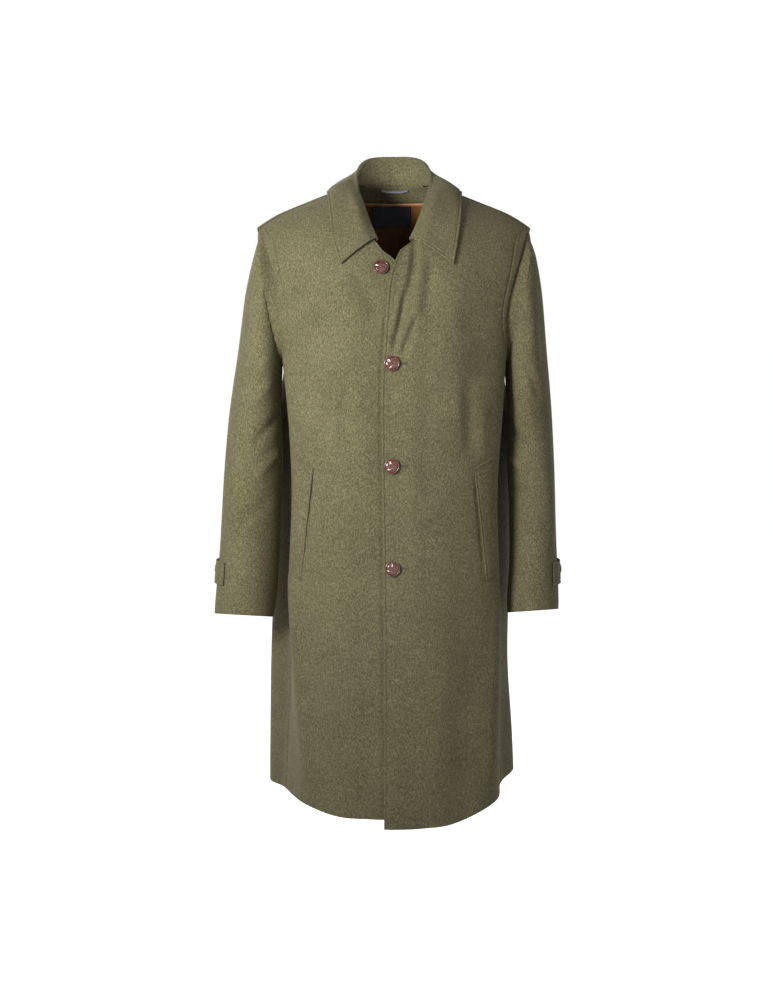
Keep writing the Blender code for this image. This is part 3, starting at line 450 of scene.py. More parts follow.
def spaced(points, count, trim):
    """Positions along a dense line of points that split it into even steps, short of its end by trim."""
    run = np.concatenate([[0], np.cumsum(np.linalg.norm(np.diff(points, axis=0), axis=1))])
    return np.interp(np.linspace(0, run[-1] - trim, count), run, np.linspace(0, 1, len(points)))


def girth_row(start_u, end_u, start_z, end_z, count, hem_side=None):
    """(u, z) of a row round the body, its height going evenly from start_z to end_z. With hem_side it is bent
    to the hem's line on that side."""
    def line(q):
        u = start_u + (end_u - start_u) * q
        z = start_z + (end_z - start_z) * q
        return u, (hem_height(u, z, hem_side) if hem_side else z)
    q = np.linspace(0, 1, 200)
    u, z = line(q)
    at = spaced(body(u, z), count, GAP / 2)
    return line(at)


def shoulder_row(start, end, count, back):
    """(u, z) of a row that is straight as seen from the front, from (x, z) start to end on the ridge, in even
    steps."""
    side = 1 if end[0] > 0 else -1
    q = np.sin(np.linspace(0, 1, 240) * math.pi / 2)
    x = start[0] + (end[0] - start[0]) * q
    z = start[1] + (end[1] - start[1]) * q
    u = side * np.array([abs(u_at_x(a, b, back)) for a, b in zip(np.abs(x), z)])
    u[-1] = side * 0.5
    at = spaced(body(u, z), count, 0.0)
    share = np.linspace(0, 1, len(u))
    return np.interp(at, share, u), np.interp(at, share, z)


def panel_lines(which, side, columns, start_u, start_x):
    """(u, z) of the rows of a front or of half the back, by row, column and part, from its edge or the middle
    to its side seam, its armhole and its shoulder seam."""
    lines = []
    for z in np.linspace(HEM_Z, UNDERARM_Z, SKIRT_ROWS):
        lines.append(girth_row(start_u(z), side * 0.5, z, z, columns, side))
    for row in ARMHOLE_ROWS[1:-1]:
        start_z, end_u = getattr(row, f"{which}_z"), getattr(row, f"{which}_u")
        lines.append(girth_row(start_u(start_z), side * end_u, start_z, row.end_z, columns))
    for row in SHOULDER_ROWS:
        start_z = getattr(row, f"{which}_z")
        end = (side * float(ridge_reach(row.end_z)), row.end_z)
        lines.append(shoulder_row((start_x(start_z), start_z), end, columns, which == "back"))
    return np.swapaxes(np.array(lines), 1, 2)


def front_lines(side):
    """The rows of a front. The wearer's left front, at side 1, is the upper one."""
    edge = "over_x" if side > 0 else "under_x"
    return panel_lines(
        "front", side, FRONT_COLUMNS,
        lambda z: u_at_x(float(along(FRONT_EDGES, "z", edge, z)), z),
        lambda z: side * float(along(NECK_SEAM, "z", "x", z)),
    )


def back_lines(side):
    return panel_lines("back", side, BACK_COLUMNS, lambda z: float(side), lambda z: 0.0)


def lapped(points, normals):
    """The upper front's points, lifted over the lower front where they lie on it."""
    fade = 1 - smooth_step((points[..., 0] - LAP_X) / LAP_FADE_X)
    fade = fade * smooth_step((NECK_SEAM[0].z - points[..., 2]) / LAP_FADE_Z)
    return points + normals * (LAP_LIFT * fade)[..., None]


def joined(left, right):
    """Two halves of the back, each points and normals, as one grid from side seam to side seam."""
    return [np.concatenate([a[:, ::-1], b[:, 1:]], axis=1) for a, b in zip(left, right)]


def on_rows(lines):
    """Points and normals of a panel on its own rows, half a gap short of the shoulder seam."""
    u, z = lines[..., 0], lines[..., 1]
    points = body(u, z)
    points[TIP_ROW:, -1] += unit(points[TIP_ROW:, -2] - points[TIP_ROW:, -1]) * GAP / 2
    return points, body_normal(u, z)


def front_panel(side):
    points, normals = on_rows(front_lines(side))
    if side > 0:
        return Panel(lapped(points, normals), normals)
    return Panel(points[:, ::-1], normals[:, ::-1])


def back_panel():
    return Panel(*joined(on_rows(back_lines(1)), on_rows(back_lines(-1))))


def on_panel(panel, row, column):
    """The point and normal of a panel at a row and column that may lie between its own."""
    rows, columns = panel.points.shape[:2]
    r, c = min(int(row), rows - 2), min(int(column), columns - 2)
    a, b = row - r, column - c
    def mix(grid):
        low = grid[r, c] * (1 - b) + grid[r, c + 1] * b
        high = grid[r + 1, c] * (1 - b) + grid[r + 1, c + 1] * b
        return low * (1 - a) + high * a
    return mix(panel.points), unit(mix(panel.normals))


def place_on(panel, x, z, rows):
    """Row and column of a panel at a distance from the middle and a height, between two of its rows."""
    best = None
    for row in np.linspace(rows[0], rows[1], 12 * (rows[1] - rows[0]) + 1):
        r = min(int(row), panel.points.shape[0] - 2)
        line = panel.points[r] * (1 - row + r) + panel.points[r + 1] * (row - r)
        order = np.argsort(line[:, 0])
        column = float(np.interp(x, line[order, 0], order))
        point, _ = on_panel(panel, row, column)
        miss = abs(point[2] - z)
        if best is None or miss < best[0]:
            best = (miss, row, column)
    return best[1], best[2]


def grid_normals(grid, closed=False):
    if closed:
        grid = np.concatenate([grid[:, -1:], grid, grid[:, :1]], axis=1)
    normal = unit(np.cross(np.gradient(grid, axis=1), np.gradient(grid, axis=0)))
    return normal[:, 1:-1] if closed else normal


# Sleeves

def sleeve_ring(row, side, count=SLEEVE_COLUMNS):
    """A ring of the sleeve, from its outer line over the front. The row may lie between the table's rows."""
    low = int(min(max(math.floor(row), 0), len(SLEEVE) - 2))
    t = row - low
    before, after = SLEEVE[max(low - 1, 0)], SLEEVE[min(low + 2, len(SLEEVE) - 1)]
    def at(name):
        values = [getattr(r, name) for r in (before, SLEEVE[low], SLEEVE[low + 1], after)]
        return curve_point(*values, t)
    which = "left" if side > 0 else "right"
    outer = np.array([at(f"outer_{which}_x"), at("mid_y"), at("outer_z")])
    inner = np.array([at(f"inner_{which}_x"), at("mid_y"), at("inner_z")])
    centre, reach = (outer + inner) / 2, (outer - inner) / 2
    angles = np.arange(count) * 2 * math.pi / count
    ring = centre + np.outer(np.cos(angles), reach)
    ring[:, 1] -= at("half_depth") * np.sin(angles)
    ring[:, 2] += at("front_lift") * np.sin(angles) - (0.0 if side > 0 else at("right_drop"))
    ring[:, 0] *= side
    return ring


def armhole_ring(share, depth, side):
    """A ring under the armhole's edge, on the body moved in by depth. It has a sleeve ring's columns."""
    u, z = [], []
    middle = (UNDERARM_Z + TIP_Z) / 2
    edge = [(row.front_u, row.end_z) for row in ARMHOLE_ROWS[::-1]]
    edge += [(row.back_u, row.end_z) for row in ARMHOLE_ROWS[1:-1]]
    for edge_u, edge_z in edge:
        u.append(side * (0.5 + (edge_u - 0.5) * share))
        z.append(middle + (edge_z - middle) * share)
    return body(u, z) - body_normal(u, z) * depth


def sleeve_grid(side, per_row=2):
    rings = [armhole_ring(TUCK_SHARE, TUCK_DEPTH, side), armhole_ring(MOUTH_SHARE, MOUTH_DEPTH, side)]
    rings += [sleeve_ring(k / per_row, side) for k in range((len(SLEEVE) - 1) * per_row + 1)]
    return np.array(rings)


def sleeve_surface(degrees, z, side):
    """A point of the sleeve's outer face at an angle round it and a height, and its outward normal."""
    count = 72
    index = (degrees % 360) / 360 * count
    low, share = int(index) % count, index - int(index)
    def point(row):
        ring = sleeve_ring(row, side, count)
        return ring[low] * (1 - share) + ring[(low + 1) % count] * share
    top, bottom = 3.0, float(len(SLEEVE) - 1)
    for _ in range(30):
        middle = (top + bottom) / 2
        if point(middle)[2] > z:
            top = middle
        else:
            bottom = middle
    ring = sleeve_ring(top, side, count)
    here = point(top)
    down = point(min(top + 0.05, 8.0)) - point(top - 0.05)
    normal = unit(np.cross(ring[(low + 1) % count] - ring[low], down))
    if np.dot(normal, here - ring.mean(axis=0)) < 0:
        normal = -normal
    return here, normal


# Collar

# Keeps a point of the neck seam just short of the ridge's end
SEAM_SHORT = 0.9995


def neck_seam_point(degrees, side):
    """A point of the neck seam with the body's normal there: 0 is the nape, 90 the shoulder seam."""
    if degrees <= 90:
        z = NECK_POINT_Z
        x = side * NECK_POINT_X * math.sin(math.radians(degrees)) * SEAM_SHORT
        u = u_at_x(x, z, back=True)
    else:
        z = NECK_POINT_Z + (NECK_SEAM[0].z - NECK_POINT_Z) * (degrees - 90) / 90
        x = side * min(float(along(NECK_SEAM, "z", "x", z)), NECK_POINT_X * SEAM_SHORT)
        u = u_at_x(x, z)
    return body(u, z), body_normal(u, z)


def collar_line(name, station):
    return float(along(COLLAR, "station", name, station))


def roll_point(station, side):
    x, y, z = (collar_line(f"roll_{axis}", station) for axis in "xyz")
    return np.array([side * x, y, z])


def collar_base(station, side):
    """Where the stand is sewn on, just inside the neck seam, and the body's normal there."""
    degrees = collar_line("base_deg", station)
    seam, normal = neck_seam_point(degrees, side)
    tangent = unit(neck_seam_point(degrees + 4, side)[0] - neck_seam_point(max(degrees - 4, 0), side)[0])
    inwards = unit(np.cross(normal, tangent))
    if np.dot(inwards, np.array([0.0, -0.01, 0.03]) - seam) < 0:
        inwards = -inwards
    behind = CLOTH / 2 + STAND_TUCK * float(smooth_step((station - 0.55) / 0.3))
    return seam + inwards * (GAP + COLLAR_CLOTH * 0.9) - normal * behind, normal


def averaged(function, station, side, reach=0.05):
    """Mean of a function of the station over its neighbours, to round off the corner at the shoulder seam."""
    near = [min(max(station + d, 0.0), 1.0) for d in (-reach, 0.0, 0.0, reach)]
    results = [function(s, side) for s in near]
    if station - reach < 0:
        results[0] = tuple(part * (-1, 1, 1) for part in function(reach - station, side))
    return tuple(np.mean(parts, axis=0) for parts in zip(*results))


def collar_profile(samples, station, side):
    """Middle line of the collar's cloth across one station, from the neck seam over the roll to the edge."""
    base, seam_normal = averaged(collar_base, station, side)
    roll = roll_point(station, side)
    tangent = unit(roll_point(min(station + 0.06, 1.0), side) - roll_point(max(station - 0.06, 0.0), side))
    if station == 0:
        tangent = np.array([side * 1.0, 0.0, 0.0])
    rise = roll - base
    rise = unit(rise - tangent * np.dot(rise, tangent))
    across = unit(np.cross(tangent, rise))
    if np.dot(across, seam_normal) < 0:
        across = -across
    centre = roll - rise * ROLL_RADIUS
    inner_turn, outer_turn = centre - across * ROLL_RADIUS, centre + across * ROLL_RADIUS

    rest = LEAF_CLEAR + COLLAR_CLOTH / 2
    edge_x = side * collar_line("edge_left_x" if side > 0 else "edge_right_x", station)
    edge = np.array([edge_x, collar_line("edge_y", station), collar_line("edge_z", station)])
    edge = kept_off(samples, edge, rest, snap=True)
    swell = collar_line("bulge", station) * 4
    line = [base, base * 0.5 + inner_turn * 0.5, inner_turn, roll, outer_turn]
    chord = edge - outer_turn
    out = across - unit(chord) * np.dot(across, unit(chord))
    for share in (0.2, 0.4, 0.6, 0.8):
        point = outer_turn + chord * share + unit(out) * swell * share * (1 - share)
        line.append(kept_off(samples, point, rest + COLLAR_CLOTH * (1 - share)))
    line.append(edge)
    return line


def smooth_line(points, counts):
    """Points on a smooth curve through the given ones, with a stated number of steps between each pair."""
    p = np.array(points)
    p = np.vstack([2 * p[0] - p[1], p, 2 * p[-1] - p[-2]])
    made = []
    for k, count in enumerate(counts):
        for i in range(count):
            made.append(curve_point(p[k], p[k + 1], p[k + 2], p[k + 3], i / count))
    made.append(p[-2])
    return np.array(made)


def collar_grid(samples, stations=COLLAR_STATIONS, counts=(1, 1, 2, 2, 1, 1, 1, 1, 1)):
    half = list(stations)
    rows = [smooth_line(collar_profile(samples, s, -1), counts) for s in half[::-1]]
    rows += [smooth_line(collar_profile(samples, s, 1), counts) for s in half[1:]]
    return np.array(rows)


# Fine grids through the coarse ones

def between(grid, at, closed=False):
    """Rows of a grid at positions that may lie between its own, on smooth curves through them."""
    count = len(grid)
    low = np.clip(np.floor(at).astype(int), 0, count - (1 if closed else 2))
    share = (at - low).reshape(-1, *[1] * (grid.ndim - 1))
    if closed:
        near = [grid[(low + k) % count] for k in (-1, 0, 1, 2)]
    else:
        padded = np.concatenate([[2 * grid[0] - grid[1]], grid, [2 * grid[-1] - grid[-2]]])
        near = [padded[low + k] for k in (0, 1, 2, 3)]
    return curve_point(*near, share)


def refined(grid, rows_at, columns_at, closed=False):
    rows = between(grid, rows_at)
    return np.swapaxes(between(np.swapaxes(rows, 0, 1), columns_at, closed), 0, 1)


def steps(*spans):
    """Positions along a grid, from spans of (start, end, count)."""
    parts = [np.linspace(start, end, count, endpoint=False) for start, end, count in spans]
    return np.concatenate(parts + [[spans[-1][1]]])


PANEL_ROWS = steps(
    (0, 0.012, 2), (0.012, 0.06, 4), (0.06, UNDERARM_ROW, 150), (UNDERARM_ROW, LAST_ARMHOLE_ROW, 76),
    (LAST_ARMHOLE_ROW, TIP_ROW, 6), (TIP_ROW, TOP_ROW - 0.3, 34), (TOP_ROW - 0.3, TOP_ROW, 6),
)

# How much of the solids' gap the side seams' edges take up, so that no light comes through
SIDE_SEAM_CLOSES = 0.00017


def fine_panel(lines, rows_at, columns_at):
    """Points and normals on the body, through rows of (u, z) given as lines by row, column and part."""
    made = []
    for first, last in zip(CORNER_ROWS, CORNER_ROWS[1:]):
        inside = (rows_at >= first) & ((rows_at < last) | (rows_at == TOP_ROW) & (last == TOP_ROW))
        if inside.any():
            block = lines[first : last + 1]
            made.append(refined(block, rows_at[inside] - first, columns_at))
    uz = np.concatenate(made)
    u, z = uz[..., 0], uz[..., 1]
    points = body(u, z)
    at_side = rows_at <= UNDERARM_ROW
    points[at_side, -1] += unit(points[at_side, -1] - points[at_side, -2]) * SIDE_SEAM_CLOSES
    return points, body_normal(u, z)


# Creases are soft troughs, or ridges where their depth is negative. Each row has the x and z of one end and
# of the other, how far its middle is bowed sideways, its width and its depth.
FRONT_CREASES = (
    # drag from the undone top button down to the fastened one
    (0.0375, -0.088, 0.019, -0.21, -0.003, 0.0062, 0.0085),
    (0.0225, -0.165, -0.005, -0.298, -0.002, 0.0056, 0.008),
    (0.05, -0.12, 0.03, -0.262, -0.005, 0.01, -0.0042),
    (0.046, -0.215, 0.01, -0.298, 0.001, 0.006, 0.007),
    (0.013, -0.19, 0.0005, -0.262, 0.002, 0.005, -0.0022),
    (0.07, -0.12, 0.05, -0.23, 0.004, 0.013, 0.005),
    (0.025, -0.32, 0.008, -0.352, 0.0, 0.006, 0.0014),
    # the wearer's left chest and side
    (0.118, -0.2, 0.178, -0.35, 0.012, 0.03, 0.0045),
    (0.09, -0.18, 0.15, -0.3, 0.01, 0.02, -0.0022),
    (0.131, -0.31, 0.133, -0.48, 0.004, 0.015, 0.0042),
    (0.108, -0.33, 0.11, -0.47, -0.003, 0.016, -0.0026),
    (0.156, -0.36, 0.152, -0.47, 0.003, 0.012, -0.0026),
    (0.056, -0.36, 0.06, -0.56, 0.005, 0.022, 0.0018),
    # the wearer's right chest and side
    (-0.08, -0.14, -0.022, -0.24, -0.006, 0.013, 0.003),
    (-0.098, -0.17, -0.05, -0.27, -0.006, 0.016, -0.002),
    (-0.131, -0.29, -0.127, -0.47, -0.003, 0.013, 0.0036),
    (-0.105, -0.3, -0.102, -0.46, -0.002, 0.014, -0.0024),
    (-0.079, -0.31, -0.077, -0.48, 0.003, 0.015, 0.0026),
    (-0.048, -0.34, -0.047, -0.52, 0.003, 0.018, -0.0018),
    (-0.176, -0.395, -0.148, -0.462, 0.004, 0.007, 0.0036),
    (-0.174, -0.442, -0.132, -0.47, 0.002, 0.0045, 0.0018),
    (-0.17, -0.468, -0.138, -0.482, 0.001, 0.004, -0.0012),
    # skirt
    (-0.175, -0.64, -0.164, -0.86, 0.004, 0.01, -0.0036),
    (-0.164, -0.8, -0.148, -1.06, 0.004, 0.012, -0.004),
    (-0.198, -0.7, -0.188, -0.98, 0.003, 0.015, 0.004),
    (-0.13, -0.74, -0.118, -1.07, 0.005, 0.024, 0.003),
    (-0.07, -0.82, -0.064, -1.09, 0.004, 0.026, -0.0026),
    (0.184, -0.68, 0.176, -0.9, 0.003, 0.011, -0.0036),
    (0.178, -0.84, 0.168, -1.06, 0.003, 0.012, -0.0036),
    (0.14, -0.76, 0.132, -1.08, 0.004, 0.025, 0.0034),
    (0.076, -0.84, 0.072, -1.1, 0.003, 0.026, -0.0026),
    (0.03, -0.9, 0.028, -1.1, 0.002, 0.02, 0.0016),
)

# Where the cloth dips beside the welts, along their inner edge and their ends
WELT_DIP_WIDTH = 0.0019
WELT_DIPS = tuple(
    (side * x0, z0, side * x1, z1, 0.0, WELT_DIP_WIDTH, depth)
    for side in (1, -1)
    for x0, z0, x1, z1, depth in (
        (0.1348, -0.466, 0.1572, -0.692, 0.003), (0.131, -0.4835, 0.178, -0.4645, 0.002),
        (0.153, -0.6815, 0.2, -0.6625, 0.002),
    )
)

BACK_CREASES = (
    (0.105, -0.15, 0.172, -0.33, 0.014, 0.026, 0.005),
    (-0.1, -0.16, -0.17, -0.32, -0.012, 0.024, 0.005),
    (0.075, -0.18, 0.135, -0.36, 0.01, 0.022, -0.003),
    (-0.072, -0.19, -0.128, -0.35, -0.01, 0.022, -0.003),
    (0.05, -0.38, 0.044, -0.62, 0.006, 0.022, 0.004),
    (-0.056, -0.4, -0.048, -0.65, -0.005, 0.022, 0.004),
    (0.104, -0.42, 0.112, -0.64, 0.004, 0.02, -0.0034),
    (-0.11, -0.41, -0.116, -0.62, -0.004, 0.02, -0.0034),
    (0.146, -0.56, 0.164, -1.04, 0.006, 0.024, -0.006),
    (0.096, -0.64, 0.114, -1.07, 0.005, 0.026, 0.006),
    (0.04, -0.6, 0.048, -1.06, 0.004, 0.026, -0.005),
    (-0.03, -0.66, -0.036, -1.07, 0.004, 0.026, 0.005),
    (-0.088, -0.58, -0.104, -1.05, -0.005, 0.026, -0.006),
    (-0.14, -0.64, -0.162, -1.06, -0.006, 0.024, 0.006),
)

# The same on a sleeve, by angle from its outer line over the front, height and width in metres
SLEEVE_CREASES = {
    1: (
        (110, -0.3, 60, -0.38, 4, 0.013, 0.0036),
        (150, -0.34, 80, -0.42, 6, 0.012, -0.003),
        (165, -0.42, 95, -0.47, 5, 0.01, 0.0046),
        (170, -0.47, 110, -0.5, 3, 0.009, -0.0036),
        (160, -0.52, 70, -0.58, 6, 0.012, 0.0032),
        (70, -0.16, 80, -0.3, 3, 0.014, -0.0024),
        (40, -0.2, 45, -0.34, 2, 0.015, 0.0024),
        (60, -0.48, 45, -0.64, 3, 0.015, -0.0026),
        (250, -0.3, 230, -0.42, 5, 0.014, 0.004),
        (290, -0.42, 230, -0.48, 6, 0.012, -0.0036),
        (280, -0.5, 220, -0.56, 5, 0.013, 0.004),
        (310, -0.3, 315, -0.6, 5, 0.017, 0.0026),
    ),
    -1: (
        (100, -0.28, 55, -0.36, 4, 0.014, 0.0034),
        (140, -0.33, 75, -0.4, 6, 0.012, -0.0028),
        (160, -0.4, 85, -0.46, 5, 0.011, 0.0042),
        (165, -0.46, 100, -0.51, 4, 0.01, -0.0034),
        (150, -0.54, 60, -0.6, 5, 0.013, 0.003),
        (75, -0.15, 85, -0.28, 3, 0.014, -0.0024),
        (45, -0.18, 50, -0.33, 2, 0.015, 0.0022),
        (70, -0.5, 55, -0.65, 3, 0.015, -0.0028),
        (255, -0.29, 235, -0.4, 5, 0.014, 0.004),
        (285, -0.4, 225, -0.47, 6, 0.012, -0.0036),
        (275, -0.52, 215, -0.57, 5, 0.013, 0.004),
        (315, -0.28, 320, -0.58, 5, 0.017, 0.0024),
    ),
}
SLEEVE_RADIUS = 0.058

# The share of a crease's length that it takes to fade at each end
CREASE_FADE = 0.3


def creased(x, z, creases, scale_x=1.0):
    """How far the cloth stands out at x, z, with x and the creases' x in units of scale_x metres."""
    stands = np.zeros_like(x)
    for x0, z0, x1, z1, bow, width, depth in creases:
        run = np.array([(x1 - x0) * scale_x, z1 - z0])
        length = np.hypot(*run)
        run /= length
        dx, dz = (x - x0) * scale_x, z - z0
        t = (dx * run[0] + dz * run[1]) / length
        off = dx * run[1] - dz * run[0] - bow * scale_x * 4 * t * (1 - t)
        fade = smooth_step(t / CREASE_FADE) * smooth_step((1 - t) / CREASE_FADE)
        stands -= depth * fade * bell(off, width)
    return stands


WAVE_PITCHES = (0.21, 0.13, 0.085)
WAVE_STEEPNESS = 0.0075
WAVES_GROW_FROM_Z = -0.45


def waves(x, z, seed):
    """The skirt's own slow unevenness, growing to the hem, and a little of it everywhere."""
    draw = random.Random(seed)
    total = np.zeros_like(x)
    for pitch in WAVE_PITCHES:
        lean, phase = draw.uniform(-0.25, 0.25), draw.uniform(0, 6.28)
        total += pitch * np.sin((x + lean * z) / pitch * 6.28 + phase)
    return WAVE_STEEPNESS * total * (0.35 + smooth_step((WAVES_GROW_FROM_Z - z) / 0.6))


# The seeds of the unevenness of the fronts, the back and the collar
FRONT_WAVES, BACK_WAVES, COLLAR_WAVES = 3, 8, 5


def front_relief(x, z):
    return creased(x, z, FRONT_CREASES) + waves(x, z, FRONT_WAVES)


def back_relief(x, z):
    return (creased(x, z, BACK_CREASES) + waves(x, z, BACK_WAVES)) * smooth_step((-0.03 - z) / 0.05)


# Edges, seams and stitch lines of the cloth

STITCH_IN = 0.0048
SEAM_DIP = 0.0012
GROOVE_DEPTH = 0.0009
GROOVE_WIDTH = 0.0013
SEAM_DIP_WIDTH = 0.0025
# How much of the cloth's thickness an edge's rounding takes from each face
EDGE_SHARE = 0.48


def edge_distances(points):
    """Distance of each point from its row's start and end, and from its column's start and end."""
    across = np.linalg.norm(np.diff(points, axis=1), axis=2)
    across = np.concatenate([np.zeros((len(points), 1)), np.cumsum(across, axis=1)], axis=1)
    up = np.linalg.norm(np.diff(points, axis=0), axis=2)
    up = np.concatenate([np.zeros((1, points.shape[1])), np.cumsum(up, axis=0)], axis=0)
    return across, across[:, -1:] - across, up, up[-1:] - up


def turned(distance, radius):
    """How far a surface falls away towards a rounded edge."""
    near = np.clip(radius - distance, 0, radius)
    return radius - np.sqrt(np.maximum(radius**2 - near**2, 0))


def rounding(thickness, distances):
    """The fall of a cloth's faces towards its rounded edges."""
    radius = thickness * EDGE_SHARE
    return np.maximum.reduce([turned(distance, radius) for distance in distances])


def groove(distance, at, width=GROOVE_WIDTH, depth=GROOVE_DEPTH):
    return -depth * bell(distance - at, width)


EDGE_FULLNESS = 0.00035


def puffed(distance, at, height=EDGE_FULLNESS):
    """The fullness of an edge between its fold and its stitching."""
    return height * np.where(distance < at, np.sin(np.clip(distance / at, 0, 1) * math.pi) ** 0.7, 0)


def mesh_object(name, verts, faces, look, slot, replaced=None):
    mesh = bpy.data.meshes.new(name)
    mesh.from_pydata([tuple(v) for v in verts], [], faces)
    mesh.update()
    mesh.shade_smooth()
    mesh.materials.append(look)
    obj = bpy.data.objects.new(name, mesh)
    bpy.context.scene.collection.objects.link(obj)
    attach(obj, "root")
    if replaced:
        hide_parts(replaced)
    return obj


def grid_faces(rows, columns, start=0, closed=False):
    """Four-sided faces of a grid of vertices that are numbered from start, row by row."""
    r = np.arange(rows - 1)[:, None]
    c = np.arange(columns if closed else columns - 1)[None, :]
    a, b = start + r * columns + c, start + r * columns + (c + 1) % columns
    return np.stack([a, b, b + columns, a + columns], axis=-1).reshape(-1, 4)


def cloth_wall(name, outer, inner, look, slot, replaced, closed=False):
    """A closed wall of cloth between two grids of points, facing out on both sides."""
    rows, columns = outer.shape[:2]
    verts = np.concatenate([outer.reshape(-1, 3), inner.reshape(-1, 3)])
    back = rows * columns
    front_faces = grid_faces(rows, columns, 0, closed)
    faces = [front_faces, grid_faces(rows, columns, back, closed)[:, ::-1]]
    spans = np.arange(columns if closed else columns - 1)
    ends = (spans + 1) % columns
    top = (rows - 1) * columns
    faces.append(np.stack([ends, spans, spans + back, ends + back], axis=-1))
    faces.append(np.stack([top + spans, top + ends, top + ends + back, top + spans + back], axis=-1))
    if not closed:
        lower = np.arange(rows - 1) * columns
        upper = lower + columns
        faces.append(np.stack([lower, upper, upper + back, lower + back], axis=-1))
        lower, upper = lower + columns - 1, upper + columns - 1
        faces.append(np.stack([upper, lower, lower + back, upper + back], axis=-1))
    faces = np.concatenate(faces)
    corners = verts[front_faces]
    sides = np.cross(corners[:, 1] - corners[:, 0], corners[:, 3] - corners[:, 0])
    away = (outer - inner).reshape(-1, 3)[front_faces[:, 0]]
    if (sides * away).sum() < 0:
        faces = faces[:, ::-1]
    return mesh_object(name, verts, faces.tolist(), look, slot, replaced)


def line_in_row(points, normals, distance, rows):
    """Points and normals at a distance along each of some rows. The distance may differ by row."""
    found, facing = [], []
    across = edge_distances(points)[0]
    distance = np.broadcast_to(distance, len(rows))
    for at, row in zip(distance, rows):
        share = np.interp(at, across[row], np.arange(points.shape[1]))
        low = min(int(share), points.shape[1] - 2)
        t = share - low
        found.append(points[row, low] * (1 - t) + points[row, low + 1] * t)
        facing.append(normals[row, low])
    return np.array(found), np.array(facing)


def edge_line(outer, normals, edge, inset, picked):
    """A stitch line at inset from an edge of a grid, through the picked rows, or columns for low and high."""
    if edge in ("low", "high"):
        outer, normals = np.swapaxes(outer, 0, 1), np.swapaxes(normals, 0, 1)
    if edge in ("end", "high"):
        inset = edge_distances(outer)[0][picked, -1] - inset
    return line_in_row(outer, normals, inset, picked)


STITCH_LENGTH = 0.0026
STITCH_PITCH = 0.0034
THREAD_R = 0.0003


def stitches(lines):
    """Verts and faces of short thread stitches laid along lines of (points, normals)."""
    ring = [(math.cos(k * math.pi / 3), math.sin(k * math.pi / 3)) for k in range(6)]
    verts, faces = [], []
    for points, normals in lines:
        run = np.concatenate([[0], np.cumsum(np.linalg.norm(np.diff(points, axis=0), axis=1))])

        def read(values, at):
            return np.array([np.interp(at, run, values[:, k]) for k in range(3)])

        for at in np.arange(STITCH_PITCH, run[-1] - STITCH_LENGTH, STITCH_PITCH):
            ends = read(points, at), read(points, at + STITCH_LENGTH)
            up = unit(read(normals, at))
            ahead = unit(ends[1] - ends[0])
            beside = np.cross(up, ahead)
            first = len(verts)
            for share, size in ((0.0, 0.25), (0.2, 1.0), (0.8, 1.0), (1.0, 0.25)):
                middle = ends[0] * (1 - share) + ends[1] * share + up * (THREAD_R * (size - 0.7))
                verts += [middle + (beside * c + up * s) * THREAD_R * size for c, s in ring]
            for part in range(3):
                for k in range(6):
                    a, b = first + part * 6 + k, first + part * 6 + (k + 1) % 6
                    faces.append((a, b, b + 6, a + 6))
            faces.append(tuple(first + k for k in range(5, -1, -1)))
            faces.append(tuple(first + 18 + k for k in range(6)))
    return verts, faces


def edge_lines(outer, normals, insets, spans):
    """Stitch lines along the edges that insets lists, each with how far in it lies, through spans of the
    grid's rows and columns."""
    rows, columns = (np.arange(count)[span] for count, span in zip(outer.shape, spans))
    return [
        edge_line(outer, normals, edge, inset, rows if edge in ("start", "end") else columns)
        for edge, inset in insets
    ]


def sew(name, lines, look, slot="loden"):
    mesh_object(name, *stitches(lines), look, slot)


# Materials

class Look:
    """A material and short ways to make and join its nodes."""

    def __init__(self, name, **inputs):
        self.material = bpy.data.materials.new(name)
        self.material.use_nodes = True
        self.nodes = self.material.node_tree.nodes
        self.links = self.material.node_tree.links
        self.shader = self.nodes["Principled BSDF"]
        self.set(self.shader, **inputs)

    def set(self, node, **values):
        """Sets a node's inputs by their names, with _ for a space."""
        for name, value in values.items():
            node.inputs[name.replace("_", " ")].default_value = value

    def add(self, kind, **values):
        node = self.nodes.new(kind)
        self.set(node, **values)
        return node

    def where(self, *scale):
        """Object coordinates, scaled."""
        mapping = self.add("ShaderNodeMapping", Scale=scale or (1.0, 1.0, 1.0))
        self.links.new(self.nodes.new("ShaderNodeTexCoord").outputs["Object"], mapping.inputs["Vector"])
        return mapping.outputs["Vector"]

    def noise(self, where, scale, detail=2.0, roughness=0.55):
        node = self.add("ShaderNodeTexNoise", Scale=scale, Detail=detail, Roughness=roughness)
        self.links.new(where, node.inputs["Vector"])
        return node.outputs["Fac"]

    def ramp(self, value, *stops):
        node = self.nodes.new("ShaderNodeValToRGB")
        elements = node.color_ramp.elements
        while len(elements) < len(stops):
            elements.new(0.5)
        for element, (at, colour) in zip(elements, stops):
            element.position = at
            element.color = (*colour, 1.0)
        self.links.new(value, node.inputs["Fac"])
        return node.outputs["Color"]

    def mix(self, kind, amount, a, b):
        node = self.nodes.new("ShaderNodeMix")
        node.data_type = "RGBA"
        node.blend_type = kind
        if isinstance(amount, float):
            node.inputs["Factor"].default_value = amount
        else:
            self.links.new(amount, node.inputs["Factor"])
        self.links.new(a, node.inputs["A"])
        self.links.new(b, node.inputs["B"])
        return node.outputs["Result"]

    def done(self, colour, height, strength, distance):
        """The material, with its colour and the height of its bumps."""
        bump = self.add("ShaderNodeBump", Strength=strength, Distance=distance)
        self.links.new(height, bump.inputs["Height"])
        self.links.new(bump.outputs["Normal"], self.shader.inputs["Normal"])
        self.links.new(colour, self.shader.inputs["Base Color"])
        return self.material


def grey(value):
    return (value, value, value)


